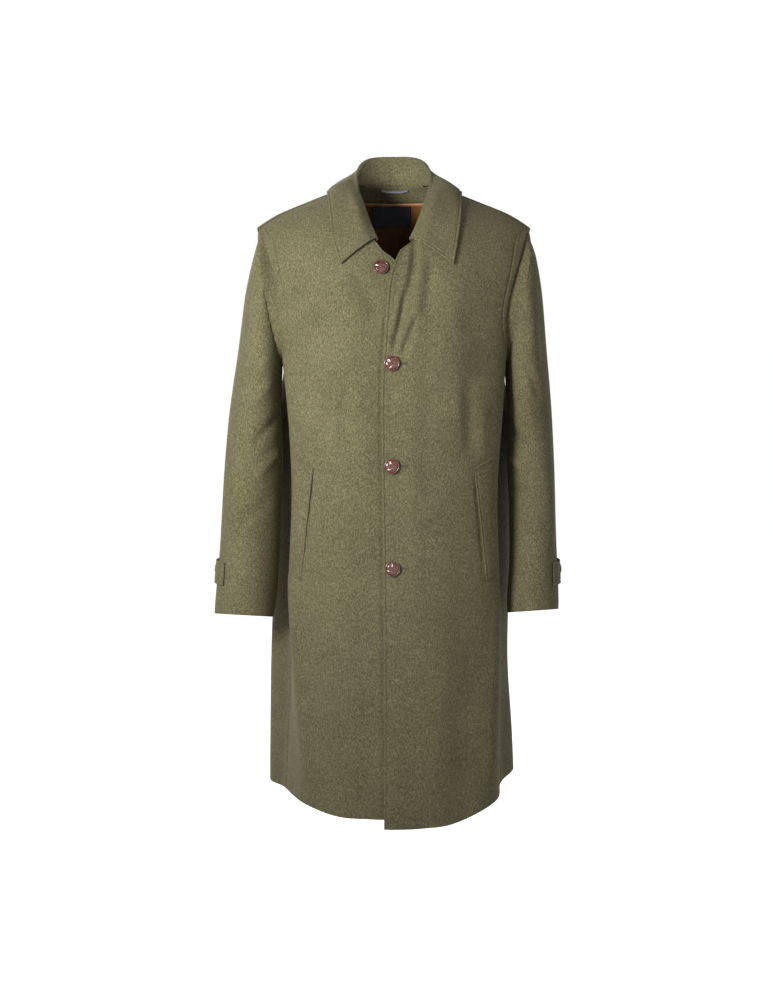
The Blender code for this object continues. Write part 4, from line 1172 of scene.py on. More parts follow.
def loden_material():
    """Milled wool: mottled fibres of dark, olive and pale wool, combed downwards, with a soft nap."""
    look = Look(
        "loden_cloth", Roughness=0.92, Specular_IOR_Level=0.18,
        Sheen_Weight=0.12, Sheen_Roughness=0.45, Sheen_Tint=(0.78, 0.74, 0.55, 1.0),
    )
    felt = look.where(1.0, 1.0, 0.62)
    mottle = look.noise(felt, 460.0, 4.0, 0.7)
    fibres = look.noise(look.where(1.0, 1.0, 0.3), 900.0, 2.0, 0.6)
    flecks = look.noise(felt, 760.0, 1.0)
    clouds = look.noise(look.where(), 16.0, 3.0)
    dark, mid, light = (0.06, 0.053, 0.025), (0.12, 0.108, 0.055), (0.235, 0.213, 0.122)
    cloth = look.ramp(mottle, (0.3, dark), (0.5, mid), (0.74, light))
    hair = look.ramp(fibres, (0.32, grey(0.7)), (0.68, (1.28, 1.28, 1.26)))
    cloth = look.mix("MULTIPLY", 0.75, cloth, hair)
    pale = look.ramp(flecks, (0.62, grey(0.0)), (0.74, (0.13, 0.118, 0.068)))
    cloth = look.mix("ADD", 0.55, cloth, pale)
    slow = look.ramp(clouds, (0.3, (0.9, 0.9, 0.89)), (0.7, (1.08, 1.08, 1.09)))
    cloth = look.mix("MULTIPLY", 1.0, cloth, slow)
    return look.done(cloth, look.mix("MIX", 0.45, mottle, fibres), 0.55, 0.0012)


def thread_material(name, colour):
    look = Look(name, Roughness=0.6)
    twist = look.noise(look.where(), 1800.0, 1.0)
    low, high = tuple(c * 0.75 for c in colour), tuple(min(c * 1.3, 1.0) for c in colour)
    return look.done(look.ramp(twist, (0.35, low), (0.65, high)), twist, 0.4, 0.0002)


def satin_material(name, painted_shade, painted_sheen):
    """Lining satin: fine weave lines and a soft gloss, with slow bands of painted shade and painted sheen in
    its colour across the folds.
    """
    look = Look(name, Roughness=0.34, Anisotropic=0.5, Sheen_Weight=0.25, Sheen_Roughness=0.3)
    drawn = look.noise(look.where(1.0, 1.0, 0.05), 1400.0, 1.0)
    slow = look.noise(look.where(1.0, 1.0, 0.35), 26.0, 2.0)
    # The colour runs in slow bands from a painted shade tone to a painted sheen tone
    return look.done(look.ramp(slow, (0.32, painted_shade), (0.7, painted_sheen)), drawn, 0.25, 0.0002)


def woven_material(name, warp, weft):
    """Plain woven tape: fine crossing ribs in two near colours."""
    look = Look(name, Roughness=0.55)
    where = look.where()
    ribs = []
    for direction in ("X", "Z"):
        wave = look.add("ShaderNodeTexWave", Scale=620.0, Distortion=0.6)
        wave.bands_direction = direction
        look.links.new(where, wave.inputs["Vector"])
        ribs.append(wave.outputs["Color"])
    weave = look.mix("MULTIPLY", 1.0, *ribs)
    return look.done(look.ramp(weave, (0.2, warp), (0.8, weft)), weave, 0.35, 0.0003)


def button_material():
    """Dark oxblood gloss, with a paler, redder painted highlight along the strips' edges and the rim's crown.
    """
    look = Look("knotted_button", Roughness=0.24, Coat_Weight=0.6, Coat_Roughness=0.1)
    plain = look.where()
    grain = look.noise(plain, 700.0, 3.0)
    patches = look.noise(plain, 210.0, 2.0)
    smooth = look.ramp(patches, (0.3, (0.05, 0.011, 0.006)), (0.7, (0.118, 0.027, 0.014)))
    # The paler, redder colour of the painted highlight on the strips' edges and the rim
    highlight_tone = look.ramp(grain, (0.3, (0.17, 0.052, 0.03)), (0.7, (0.25, 0.095, 0.06)))
    # The share of painted highlight, read from the mesh
    edge_highlight = look.nodes.new("ShaderNodeAttribute")
    edge_highlight.attribute_name = "edge_highlight"
    return look.done(look.mix("MIX", edge_highlight.outputs["Fac"], smooth, highlight_tone), grain, 0.15, 0.0003)


# Pieces

FRONT_COLUMNS_AT = steps((0, 0.4, 11), (0.4, 12.7, 82), (12.7, 13.9, 20), (13.9, FRONT_COLUMNS - 1, 3))
HALF_BACK_COLUMNS_AT = steps((0, 9.1, 48), (9.1, 9.9, 12), (9.9, BACK_COLUMNS - 1, 3))

# The armhole's stitch line: how far it lies from the armhole's edge at a height, and its groove
FLAP_GROOVE_WIDTH = 0.0016
FLAP_GROOVE_DEPTH = 0.0015
FLAP_STITCHES = table(
    "FlapStitch", "z distance",
    (-0.3, 0.009), (-0.22, 0.01), (-0.165, 0.012), (-0.13, 0.017),
    (-0.095, 0.024), (-0.07, 0.028),
)


def flap_distance(z):
    return along(FLAP_STITCHES, "z", "distance", z)


def dressed_panel(name, replaced, points, normals, slow, fine, distances, look, closed=False):
    """A panel's wall with rounded edges at the given distances. Its outer face is moved by slow and fine, and
    its inner face by slow alone."""
    fall = rounding(CLOTH, distances)
    outer = points + normals * (slow + fine - fall)[..., None]
    inner = points + normals * (slow - CLOTH + fall)[..., None]
    return cloth_wall(name, outer, inner, look, "loden", replaced, closed), outer


def flap_groove(distance, z):
    """The groove of the armhole's stitching, at a distance from the armhole's edge."""
    by_armhole = (z > UNDERARM_Z + 0.012) & (PANEL_ROWS < TIP_ROW)[:, None]
    return np.where(by_armhole, groove(distance, flap_distance(z), FLAP_GROOVE_WIDTH, FLAP_GROOVE_DEPTH), 0)


def seam_dip(distance):
    """The dip into the side seam and the shoulder seam, at a distance from them."""
    seams = ((PANEL_ROWS <= UNDERARM_ROW) | (PANEL_ROWS >= TIP_ROW))[:, None]
    return np.where(seams, -SEAM_DIP * bell(distance, SEAM_DIP_WIDTH), 0)


def flap_lines(outer, normals, edges):
    rows = np.flatnonzero((PANEL_ROWS > UNDERARM_ROW + 0.4) & (PANEL_ROWS < TIP_ROW - 0.2))
    inset = flap_distance(outer[rows, -1, 2])
    return [edge_line(outer, normals, edge, inset, rows) for edge in edges]


# How far the upper front's edge curls up by the undone button, and how deep the cloth dips beside the lap
LIP_HEIGHT = 0.0034
LIP_WIDTH = 0.0085
LIP_FROM_Z = -0.235
LAP_DIP = 0.002
LAP_DIP_WIDTH = 0.0022
LAP_DIP_INSET = 0.0012
LAP_DIP_FROM_Z = -0.19


def make_front(side, looks):
    points, normals = fine_panel(front_lines(side), PANEL_ROWS, FRONT_COLUMNS_AT)
    if side > 0:
        points = lapped(points, normals)
    x, z = points[..., 0], points[..., 2]
    distances = start, end, _, high = edge_distances(points)
    slow = front_relief(x, z)
    slow *= smooth_step(end / 0.03) * smooth_step((high + 0.002) / 0.012)
    slow += creased(x, z, WELT_DIPS)
    if side > 0:
        slow += LIP_HEIGHT * bell(start, LIP_WIDTH) * smooth_step((z - LIP_FROM_Z) / 0.05)
    else:
        lap = x - (along(FRONT_EDGES, "z", "over_x", z) - LAP_DIP_INSET)
        slow -= LAP_DIP * bell(lap, LAP_DIP_WIDTH) * smooth_step((LAP_DIP_FROM_Z - z) / 0.04)
    fine = groove(start, STITCH_IN) + puffed(start, STITCH_IN) + flap_groove(end, z) + seam_dip(end)
    which = "left" if side > 0 else "right"
    obj, outer = dressed_panel(
        f"front_{which}_cloth", f"front_{which}", points, normals, slow, fine, distances, looks["loden"]
    )
    rows = np.arange(2, int(np.sum(PANEL_ROWS < TIP_ROW)))
    lines = [edge_line(outer, normals, "start", STITCH_IN, rows)] + flap_lines(outer, normals, ["end"])
    sew(f"stitching_front_{which}", lines, looks["thread"])


def make_back(looks):
    halves = (fine_panel(back_lines(side), PANEL_ROWS, HALF_BACK_COLUMNS_AT) for side in (1, -1))
    points, normals = joined(*halves)
    x, z = points[..., 0], points[..., 2]
    distances = start, end, _, high = edge_distances(points)
    near = np.minimum(start, end)
    slow = (creased(x, z, BACK_CREASES) + waves(x, z, BACK_WAVES)) * smooth_step(near / 0.03)
    slow *= smooth_step((high - 0.01) / 0.05)
    fine = flap_groove(near, z) + seam_dip(near)
    obj, outer = dressed_panel("back_cloth", "back", points, normals, slow, fine, distances, looks["loden"])
    sew("stitching_back", flap_lines(outer, normals, ["start", "end"]), looks["thread"])


# The seam along the back of each sleeve, by angle from the outer line
SLEEVE_SEAM_DEG = {1: -28, -1: 30}
SLEEVE_SEAM_DEPTH = 0.0009
SLEEVE_SEAM_WIDTH = 0.0016
# How much fuller a sleeve is on the side that hangs by the body
INNER_FULLNESS = 0.0042
INNER_DEG = 176
INNER_WIDTH_DEG = 34
INNER_FROM_Z, INNER_TO_Z = -0.28, -0.8
# The slow unevenness round a sleeve, and the ease gathered in under the armhole's edge
SLEEVE_UNEVENNESS = 0.001
UNEVEN_FROM_Z = -0.2
EASE = 0.0006
SLEEVE_ROWS_AT = steps((0, 1, 8), (1, 2, 10), (2, 17.9, 150), (17.9, 18, 5))
SLEEVE_COLUMNS_AT = np.arange(0, SLEEVE_COLUMNS, SLEEVE_COLUMNS / 132)


def make_sleeve(side, looks):
    name = "sleeve_left" if side > 0 else "sleeve_right"
    points = refined(sleeve_grid(side), SLEEVE_ROWS_AT, SLEEVE_COLUMNS_AT, closed=True)
    normals = grid_normals(points, closed=True)
    outwards = points - points.mean(axis=1, keepdims=True)
    if (normals[40:] * outwards[40:]).sum() < 0:
        normals = -normals
    degrees = np.broadcast_to(SLEEVE_COLUMNS_AT / SLEEVE_COLUMNS * 360, points.shape[:2])
    z = points[..., 2]
    rows = SLEEVE_ROWS_AT[:, None]
    per_degree = math.pi / 180 * SLEEVE_RADIUS
    slow = creased(degrees, z, SLEEVE_CREASES[side], per_degree)
    uneven = SLEEVE_UNEVENNESS * np.sin(np.radians(degrees) * 3 + z * 14)
    slow += uneven * smooth_step((UNEVEN_FROM_Z - z) / 0.2)
    inner_side = bell(degrees - INNER_DEG, INNER_WIDTH_DEG) * smooth_step((INNER_FROM_Z - z) / 0.1)
    slow += INNER_FULLNESS * inner_side * smooth_step((z - INNER_TO_Z) / 0.1)
    slow *= smooth_step((rows - 2.0) / 1.5) * smooth_step((18 - rows) / 1.2 + 0.25)
    seam_off = ((degrees - SLEEVE_SEAM_DEG[side] + 180) % 360 - 180) * per_degree
    seam = -SLEEVE_SEAM_DEPTH * bell(seam_off, SLEEVE_SEAM_WIDTH)
    ease = EASE * np.sin(degrees * 0.62) * bell(rows - 2.2, 0.9)
    cuff = [edge_distances(points)[3]]
    obj, _ = dressed_panel(
        f"{name}_cloth", name, points, normals, slow, seam + ease, cuff, looks["loden"], closed=True
    )


# How far the collar's edge stands off what it lies on, past the solid's own clearance
COLLAR_CURL = 0.0022
COLLAR_CURL_WIDTH = 0.016
# The column of the collar's grid that lies on its roll, and the stitch line of the stand under it
ROLL_COLUMN = 4
STAND_LINE_IN = 0.01
STAND_LINE_WIDTH = 0.0018
STAND_LINE_DEPTH = 0.0017


def make_collar(looks):
    coarse = collar_grid(body_samples())
    stations, profile = coarse.shape[:2]
    rows_at = steps((0, 0.5, 16), (0.5, stations - 1.5, 190), (stations - 1.5, stations - 1, 16))
    columns_at = steps((0, profile - 1.5, 56), (profile - 1.5, profile - 1, 14))
    points = refined(coarse, rows_at, columns_at)
    normals = grid_normals(points)
    middle = len(points) // 2
    if normals[middle, -1, 1] < 0:
        normals = -normals
    distances = start, end, low, high = edge_distances(points)
    edge, ends = np.minimum.reduce([end, low, high]), np.minimum(low, high)
    stitched = np.where(start > 0.004, groove(edge, STITCH_IN) + puffed(edge, STITCH_IN), 0)
    roll = start[:, int(np.argmin(np.abs(columns_at - ROLL_COLUMN)))][:, None]
    stand_line = groove(start, roll - STAND_LINE_IN, STAND_LINE_WIDTH, STAND_LINE_DEPTH)
    stand_line *= smooth_step((ends - 0.06) / 0.05)
    draw = waves(points[..., 0], points[..., 1] * 0.7, COLLAR_WAVES) * 0.35
    draw += COLLAR_CURL * bell(edge, COLLAR_CURL_WIDTH) * smooth_step((start - roll - 0.004) / 0.02)
    fall = rounding(COLLAR_CLOTH, distances)
    outer = points + normals * (COLLAR_CLOTH / 2 + stitched + stand_line + draw - fall)[..., None]
    inner = points - normals * (COLLAR_CLOTH / 2 - draw - fall)[..., None]
    obj = cloth_wall("collar_cloth", outer, inner, looks["loden"], "loden", "collar")
    lines = [edge_line(outer, normals, "end", STITCH_IN, np.flatnonzero(ends[:, 0] > STITCH_IN))]
    columns = np.flatnonzero((columns_at > ROLL_COLUMN + 1) & (end[middle] > STITCH_IN))
    lines += [edge_line(outer, normals, side, STITCH_IN, columns) for side in ("low", "high")]
    rows = np.flatnonzero(ends[:, 0] > 0.09)
    lines.append(line_in_row(outer, normals, roll[rows, 0] - STAND_LINE_IN, rows))
    sew("stitching_collar", lines, looks["thread"])


# What is sewn on

STRIP_PUFF = 0.0001


def make_strip(name, coarse, facing, stands, counts, thickness, flat, insets, spans, looks):
    """A strip of cloth with rounded edges on a coarse grid of points, whose outer face stands off them. It is
    stitched along the edges that insets lists."""
    grid = [
        steps((0, edge, 8), (edge, last - edge, count), (last - edge, last, 8))
        for last, (edge, count) in zip((len(coarse) - 1, coarse.shape[1] - 1), counts)
    ]
    normals = unit(refined(facing, *grid))
    points = refined(coarse, *grid)
    points = points + normals * stands(points)
    sides = dict(zip(("start", "end", "low", "high"), edge_distances(points)))
    fall = rounding(thickness, sides.values())
    fine = sum(groove(sides[edge], at) + puffed(sides[edge], at, STRIP_PUFF) for edge, at in insets)
    outer = points + normals * (fine - fall)[..., None]
    inner = points - normals * (thickness - fall)[..., None]
    obj = cloth_wall(f"{name}_cloth", outer, inner, looks["loden"], "loden", name)
    sew(f"stitching_{name.removeprefix('cuff_')}", edge_lines(outer, normals, insets, spans), looks["thread"])


def welt_grid(side, panel, rows=9, columns=4):
    """Points and normals on the front under a welt, from its inner edge outwards."""
    points, normals = [], []
    for i in range(rows):
        t = i / (rows - 1)
        z = WELT_BOTTOM_Z + (WELT_TOP_Z - WELT_BOTTOM_Z) * t
        x = WELT_BOTTOM_X + (WELT_TOP_X - WELT_BOTTOM_X) * t
        row, column = place_on(panel, side * x, z, (4, 12))
        for k in range(columns):
            reach = WELT_WIDTH * k / (columns - 1)
            here, beside = panel.points[int(row), int(column) : int(column) + 2]
            step = np.linalg.norm(beside - here)
            level = panel.points[5, 0, 2] - panel.points[4, 0, 2]
            point, normal = on_panel(
                panel, row + WELT_RISE * k / (columns - 1) / level, column + side * reach / step
            )
            points.append(point)
            normals.append(normal)
    return np.array(points).reshape(rows, columns, 3), np.array(normals).reshape(rows, columns, 3)


# How far a welt's outer face stands off the front, and the stitch lines of the welts and the tabs, by their
# edge and how far in they are
WELT_STANDS = 0.0022
WELT_LINES = (("start", 0.0042), ("low", 0.0045), ("high", 0.0045), ("low", 0.0085), ("high", 0.0085))
TAB_LINES = (("end", STITCH_IN), ("low", STITCH_IN), ("high", STITCH_IN))


def make_welt(side, panel, looks):
    make_strip(
        "welt_left" if side > 0 else "welt_right", *welt_grid(side, panel),
        lambda points: (WELT_STANDS + front_relief(points[..., 0], points[..., 2]))[..., None],
        ((0.1, 110), (0.15, 30)), WELT_CLOTH, (0.036, 0.2), WELT_LINES, (slice(8, -8), slice(6, -3)), looks,
    )


def make_tab(side, looks, rows=4, columns=14):
    points, normals = [], []
    for i in range(rows):
        z = TAB_TOP_Z - TAB_WIDTH * (1 - i / (rows - 1))
        for k in range(columns):
            t = k / (columns - 1)
            here, normal = sleeve_surface(TAB_FROM_DEG + (TAB_TO_DEG - TAB_FROM_DEG) * t, z, side)
            lift = TAB_SEAT + CLOTH + TAB_STANDS_OFF * float(smooth_step(t * 3))
            points.append(here + normal * lift)
            normals.append(normal)
    make_strip(
        "cuff_tab_left" if side > 0 else "cuff_tab_right",
        np.array(points).reshape(rows, columns, 3), np.array(normals).reshape(rows, columns, 3),
        lambda points: 0.0, ((0.15, 30), (0.2, 110)), CLOTH, (0.148, 0.042), TAB_LINES,
        (slice(9, -9), slice(None, -9)), looks,
    )


# Knotted buttons

KNOT_SEAM_OFF = 0.17
KNOT_SEAM_DEPTH = 0.0008
KNOT_CROWN = 0.0006
# In shares of the button's radius: how wide a seam between two strips is, how far from it they are full, and
# where beside it their edges get a painted highlight
KNOT_SEAM_WIDTH = 0.07
KNOT_FULL_AT = 0.22
KNOT_HIGHLIGHT_AT, KNOT_HIGHLIGHT_WIDTH = 0.13, 0.04
# The rim round the knot, in shares of the button's radius, and its height
RIM_FROM = 0.8
RIM_MIDDLE = 0.905
RIM_HALF = 0.095
RIM_HEIGHT = 0.0012
# How deep the step is between the knot and its rim
RIM_STEP = 0.0004
# How high the knot's middle lies, as a share of the button's height
CROWN_SHARE = 0.89


def knot(x, y):
    """Height and painted edge highlight of four strips plaited in a pinwheel, at x, y in shares of the
    button's radius.
    """
    near = np.full_like(x, 9.0)
    for quarter in range(4):
        c, s = math.cos(quarter * math.pi / 2), math.sin(quarter * math.pi / 2)
        run, off = x * c + y * s, y * c - x * s
        past = np.clip(-KNOT_SEAM_OFF - run, 0, None)
        near = np.minimum(near, np.hypot(off - KNOT_SEAM_OFF + 0.1 * run, past))
    height = KNOT_CROWN * (1 - bell(near, KNOT_FULL_AT)) - KNOT_SEAM_DEPTH * bell(near, KNOT_SEAM_WIDTH)
    return height, 0.6 * bell(near - KNOT_HIGHLIGHT_AT, KNOT_HIGHLIGHT_WIDTH)


def make_button(name, at, normal, radius, height, turn, looks, spokes=80):
    """A knotted button with a rim, on a shank that is part of it."""
    shares = np.concatenate([np.linspace(0.0, RIM_FROM, 44)[1:], np.linspace(RIM_FROM + 0.01, 1.0, 16)])
    angles = np.arange(spokes) * 2 * math.pi / spokes
    x, y = shares[:, None] * np.cos(angles + turn), shares[:, None] * np.sin(angles + turn)
    raised, edge_highlight = knot(x, y)
    inside = smooth_step((RIM_FROM - shares) / 0.08)[:, None]
    crown = height * (0.6 + 0.29 * (1 - np.minimum(shares[:, None] / RIM_FROM, 1) ** 2))
    rim = RIM_HEIGHT * np.sqrt(np.clip(1 - ((shares - RIM_MIDDLE) / RIM_HALF) ** 2, 0, 1))[:, None]
    on_rim = shares[:, None] > RIM_FROM
    level = crown + raised * inside - RIM_STEP * (1 - inside) + np.where(on_rim, rim, 0)
    level = np.minimum(level, height)
    # A painted highlight also runs round the rim's crown
    edge_highlight = np.where(on_rim, 0.25 * (rim / RIM_HEIGHT) ** 6, edge_highlight)
    under = ((0.93, SHANK + 0.0008), (0.8, SHANK), (0.3, SHANK - 0.0002), (0.3, 0.0))
    axis = unit(np.array(normal))
    across = unit(np.cross((0.0, 0.0, 1.0), axis))
    up = np.cross(axis, across)
    rings = [[(share, h) for h in heights] for share, heights in zip(shares, level)]
    rings += [[ring] * spokes for ring in ((0.985, height * 0.44), *under)]
    verts, highlight_share = [at + axis * (height * CROWN_SHARE + KNOT_CROWN * 0.5)], [0.0]
    for k, ring in enumerate(rings):
        for angle, (share, h) in zip(angles, ring):
            verts.append(at + (across * math.cos(angle) + up * math.sin(angle)) * radius * share + axis * h)
        highlight_share += list(edge_highlight[k]) if k < len(edge_highlight) else [0.0] * spokes
    faces = [(0, 1 + k, 1 + (k + 1) % spokes) for k in range(spokes)]
    ring_faces = grid_faces(len(rings), spokes, 1, closed=True)
    faces += ring_faces[:, ::-1].tolist()
    last = 1 + (len(rings) - 1) * spokes
    faces.append(tuple(last + k for k in range(spokes - 1, -1, -1)))
    obj = mesh_object(f"{name}_knotted", verts, faces, looks["button"], "button_brown", name)
    obj.data.set_sharp_from_angle(angle=math.radians(60))
    attribute = obj.data.attributes.new("edge_highlight", "FLOAT", "POINT")
    attribute.data.foreach_set("value", np.array(highlight_share, dtype=np.float32))


# How the undone top button leans on its shank
TOP_BUTTON_LEAN = (0.1, 0.0, 0.06)
CUFF_BUTTON_HEIGHT = BUTTON_HEIGHT * 0.8


def make_buttons(left, right, looks):
    for number, (x, z) in enumerate(BUTTONS, start=1):
        panel = right if number == 1 else left
        row, column = place_on(panel, x, z, (0, 20))
        point, normal = on_panel(panel, row, column)
        at = point + normal * (GAP + float(front_relief(np.array(point[0]), np.array(point[2]))))
        if number == 1:
            normal = unit(normal + np.array(TOP_BUTTON_LEAN))
        make_button(f"button_front_{number}", at, normal, BUTTON_R, BUTTON_HEIGHT, number * 0.37, looks)
    for name, side in (("button_cuff_left", 1), ("button_cuff_right", -1)):
        here, normal = sleeve_surface(TAB_BUTTON_DEG, TAB_TOP_Z - TAB_WIDTH / 2, side)
        at = here + normal * (TAB_SEAT + CLOTH + TAB_STANDS_OFF + 2 * GAP)
        make_button(name, at, normal, CUFF_BUTTON_R, CUFF_BUTTON_HEIGHT, side * 0.5, looks, spokes=60)


BUTTONHOLE_LENGTH = 0.0285
BUTTONHOLE_STITCHES = 46
# How far beside its button's middle a fastened buttonhole starts, and where the undone one at the top starts
BUTTONHOLE_STARTS = 0.001
TOP_HOLE_X, TOP_HOLE_Z = 0.0125, -0.1385
# How deep a purl stitch is sunk into the cloth, and how high its thread is rounded
PURL_SUNK = 0.0001
PURL_ROUND = 0.00022
# A purl stitch, from the slit outwards: how far out, how high it stands, and its width
PURL = ((0.0001, 0.0, 0.6), (0.0006, 0.0007, 1.0), (0.0015, 0.0006, 1.0), (0.0022, 0.0, 0.5))


def make_buttonhole(name, panel, x0, z, looks):
    """Purl stitches side by side round a slit in the upper front."""
    middle_row, _ = place_on(panel, x0, z, (4, 20))
    middle = []
    for x in np.linspace(x0, x0 + BUTTONHOLE_LENGTH, 9):
        row, column = place_on(panel, x, z, (int(middle_row) - 1, int(middle_row) + 2))
        point, normal = on_panel(panel, row, column)
        relief = float(front_relief(np.array(point[0]), np.array(point[2])))
        middle.append((point + normal * relief, normal))
    points, normals = (np.array(part) for part in zip(*middle))
    verts, faces = [], []
    for k in range(BUTTONHOLE_STITCHES):
        share = (k + 0.5) / BUTTONHOLE_STITCHES * (len(points) - 1)
        low = min(int(share), len(points) - 2)
        here = points[low] * (1 - share + low) + points[low + 1] * (share - low)
        normal = normals[low]
        ahead = unit(points[low + 1] - points[low])
        for side in (1, -1):
            beside = np.cross(normal, ahead) * side
            first = len(verts)
            for reach, stands, width in PURL:
                spine = here + beside * reach + normal * (stands - PURL_SUNK)
                verts += [spine + ahead * part * THREAD_R * width for part in (-1, 1)]
                verts.append(spine + normal * PURL_ROUND * width)
            for step in range(3):
                a = first + step * 3
                faces += [(a, a + 3, a + 5, a + 2), (a + 2, a + 5, a + 4, a + 1)]
    mesh_object(name, verts, faces, looks["thread_dark"], "loden")


def make_buttonholes(left, looks):
    for number, (x, z) in enumerate(BUTTONS[1:], start=2):
        make_buttonhole(f"buttonhole_{number}", left, x - BUTTONHOLE_STARTS, z, looks)
    make_buttonhole("buttonhole_1", left, TOP_HOLE_X, TOP_HOLE_Z, looks)


# Inside the back neck

INSIDE_COLUMNS = slice(3, -3)
INSIDE_DEPTH = CLOTH + GAP
# Where the piping lies between its two rows, and how far inside the lining's face
PIPING_AT = 0.52
PIPING_IN = 0.002
# Half sizes of the piping and of the loop's tape, across the cloth and out of it
PIPING_HALF = (0.0031, 0.0015)
TAPE_HALF = (0.0026, 0.0011)


def inside_strip(name, back, rows, thickness, look, slot, node, counts, rise, folds=None):
    """A wall behind some rows of the back, as seen from inside the coat, that runs on by rise."""
    coarse, facing = back.points[rows, INSIDE_COLUMNS], back.normals[rows, INSIDE_COLUMNS]
    grid = steps((0, len(coarse) - 1 + rise, counts[0])), steps((0, coarse.shape[1] - 1, counts[1]))
    points, normals = refined(coarse, *grid), unit(refined(facing, *grid))
    x, z = points[..., 0], points[..., 2]
    shift = back_relief(x, z) - INSIDE_DEPTH - (folds(x, z) if folds else 0)
    outer = points + normals * shift[..., None]
    obj = cloth_wall(name, outer, outer - normals * thickness, look, slot, node)


# The lining's folds: a pleat in its middle, and soft and fine folds side by side
FOLDS_FROM_Z = -0.045
PLEAT_DEPTH, PLEAT_X, PLEAT_WIDTH = 0.003, 0.004, 0.006
SOFT_FOLD, FINE_FOLD = 0.0011, 0.0005
SOFT_PITCH, FINE_PITCH = 0.021, 0.0093


def lining_folds(x, z):
    down = smooth_step((FOLDS_FROM_Z - z) / 0.05)
    pleat = PLEAT_DEPTH * bell(x - PLEAT_X, PLEAT_WIDTH)
    soft = SOFT_FOLD * (1 + np.sin(x / SOFT_PITCH * 6.28 + 3 * np.sin(z * 21) + 1.3))
    fine = FINE_FOLD * (1 + np.sin(x / FINE_PITCH * 6.28 + 5 * np.sin(z * 33)))
    return (pleat + soft + fine) * down


def make_cord(name, points, across, facing, look, slot, node, half_sizes, sides=12):
    """A flattened cord along a line, with its half sizes across the cloth and out of it."""
    angles = np.arange(sides) * 2 * math.pi / sides
    verts = [
        point + beside * math.cos(a) * half_sizes[0] + out * math.sin(a) * half_sizes[1]
        for point, beside, out in zip(points, across, facing)
        for a in angles
    ]
    faces = grid_faces(len(points), sides, 0, closed=True).tolist()
    faces.append(tuple(range(sides)))
    faces.append(tuple(len(verts) - 1 - k for k in range(sides)))
    corner = [verts[k] for k in faces[0]]
    if np.dot(np.cross(corner[1] - corner[0], corner[3] - corner[0]), corner[0] - points[0]) < 0:
        faces = [tuple(reversed(face)) for face in faces]
    mesh_object(name, verts, faces, look, slot, node)


def fine_line(points, count):
    return between(np.array(points), np.linspace(0, len(points) - 1, count))


def make_inside(back, looks):
    inside_strip(
        "neck_facing_cloth", back, slice(-FACING_ROWS, None), FACING_CLOTH, looks["loden"],
        "loden", "neck_facing", (30, 100), 0.28,
    )
    inside_strip(
        "back_lining_satin", back, slice(-FACING_ROWS - 1 - LINING_ROWS, -FACING_ROWS), LINING_CLOTH,
        looks["satin"], "satin_brown", "lining_back", (80, 110), 0.55, lining_folds,
    )
    seam_rows = slice(-FACING_ROWS - 1, -FACING_ROWS + 1)
    low, high = back.points[seam_rows, INSIDE_COLUMNS]
    normal = unit(sum(back.normals[seam_rows, INSIDE_COLUMNS]))
    middle = low * (1 - PIPING_AT) + high * PIPING_AT
    relief = back_relief(middle[:, 0], middle[:, 2])
    middle = middle + normal * (relief - (INSIDE_DEPTH + PIPING_IN))[:, None]
    points, facing = fine_line(middle, 160), unit(fine_line(normal, 160))
    upward = unit(np.cross(facing, unit(np.gradient(points, axis=0))))
    make_cord(
        "neck_piping", points, upward, facing, looks["piping"], "piping_tan", "lining_piping", PIPING_HALF
    )
    make_label(back, looks)
    make_loop(back, looks)


def inside_at(back, x, z, depth):
    """A point behind the back's face, inside the coat."""
    rows = back.points.shape[0]
    row, column = place_on(back, x, z, (rows - 10, rows - 1))
    point, normal = on_panel(back, row, column)
    return point - normal * (depth - float(back_relief(np.array(point[0]), np.array(point[2]))))


# The label ends just under the piping
LABEL_UP = 0.0028
LABEL_CLOTH = 0.0008
LABEL_CLEAR = 0.0012
LABEL_BORDER_IN = 0.0028
LABEL_BORDER_HALF = 0.0006
LABEL_BORDER_HEIGHT = 0.00025
LABEL_STITCH_IN = 0.0013


def make_label(back, looks, rows=4, columns=7):
    """A bare woven label with a plain ribbed border, tacked down along its edges."""
    coarse = []
    for i in range(rows):
        z = LABEL_TOP_Z + LABEL_UP - LABEL_HEIGHT * (1 - i / (rows - 1))
        for k in range(columns):
            x = LABEL_X + LABEL_WIDTH * (0.5 - k / (columns - 1))
            fold = float(lining_folds(np.array(x), np.array(z)))
            coarse.append(inside_at(back, x, z, INSIDE_DEPTH + LINING_CLOTH + LABEL_CLEAR + fold * 0.35))
    coarse = np.array(coarse).reshape(rows, columns, 3)
    points = refined(coarse, steps((0, rows - 1, 44)), steps((0, columns - 1, 76)))
    normals = -grid_normals(points)
    if normals[..., 1].mean() > 0:
        normals = -normals
    edge = np.minimum.reduce(edge_distances(points))
    border = LABEL_BORDER_HEIGHT * np.exp(-(((edge - LABEL_BORDER_IN) / LABEL_BORDER_HALF) ** 4))
    outer = points + normals * (LABEL_CLOTH + border)[..., None]
    obj = cloth_wall("neck_label", outer, points, looks["label"], "label_navy", "label")
    insets = [(side, LABEL_STITCH_IN) for side in ("start", "end", "low", "high")]
    lines = edge_lines(outer, normals, insets, (slice(2, -2), slice(2, -2)))
    sew("stitching_label", lines, looks["thread_navy"], "label_navy")


# How far the loop's ends lie below the neck seam and off the facing, and how much further out its middle is
LOOP_BELOW = 0.0016
LOOP_OFF = 0.0008
LOOP_SWELL = 0.0015


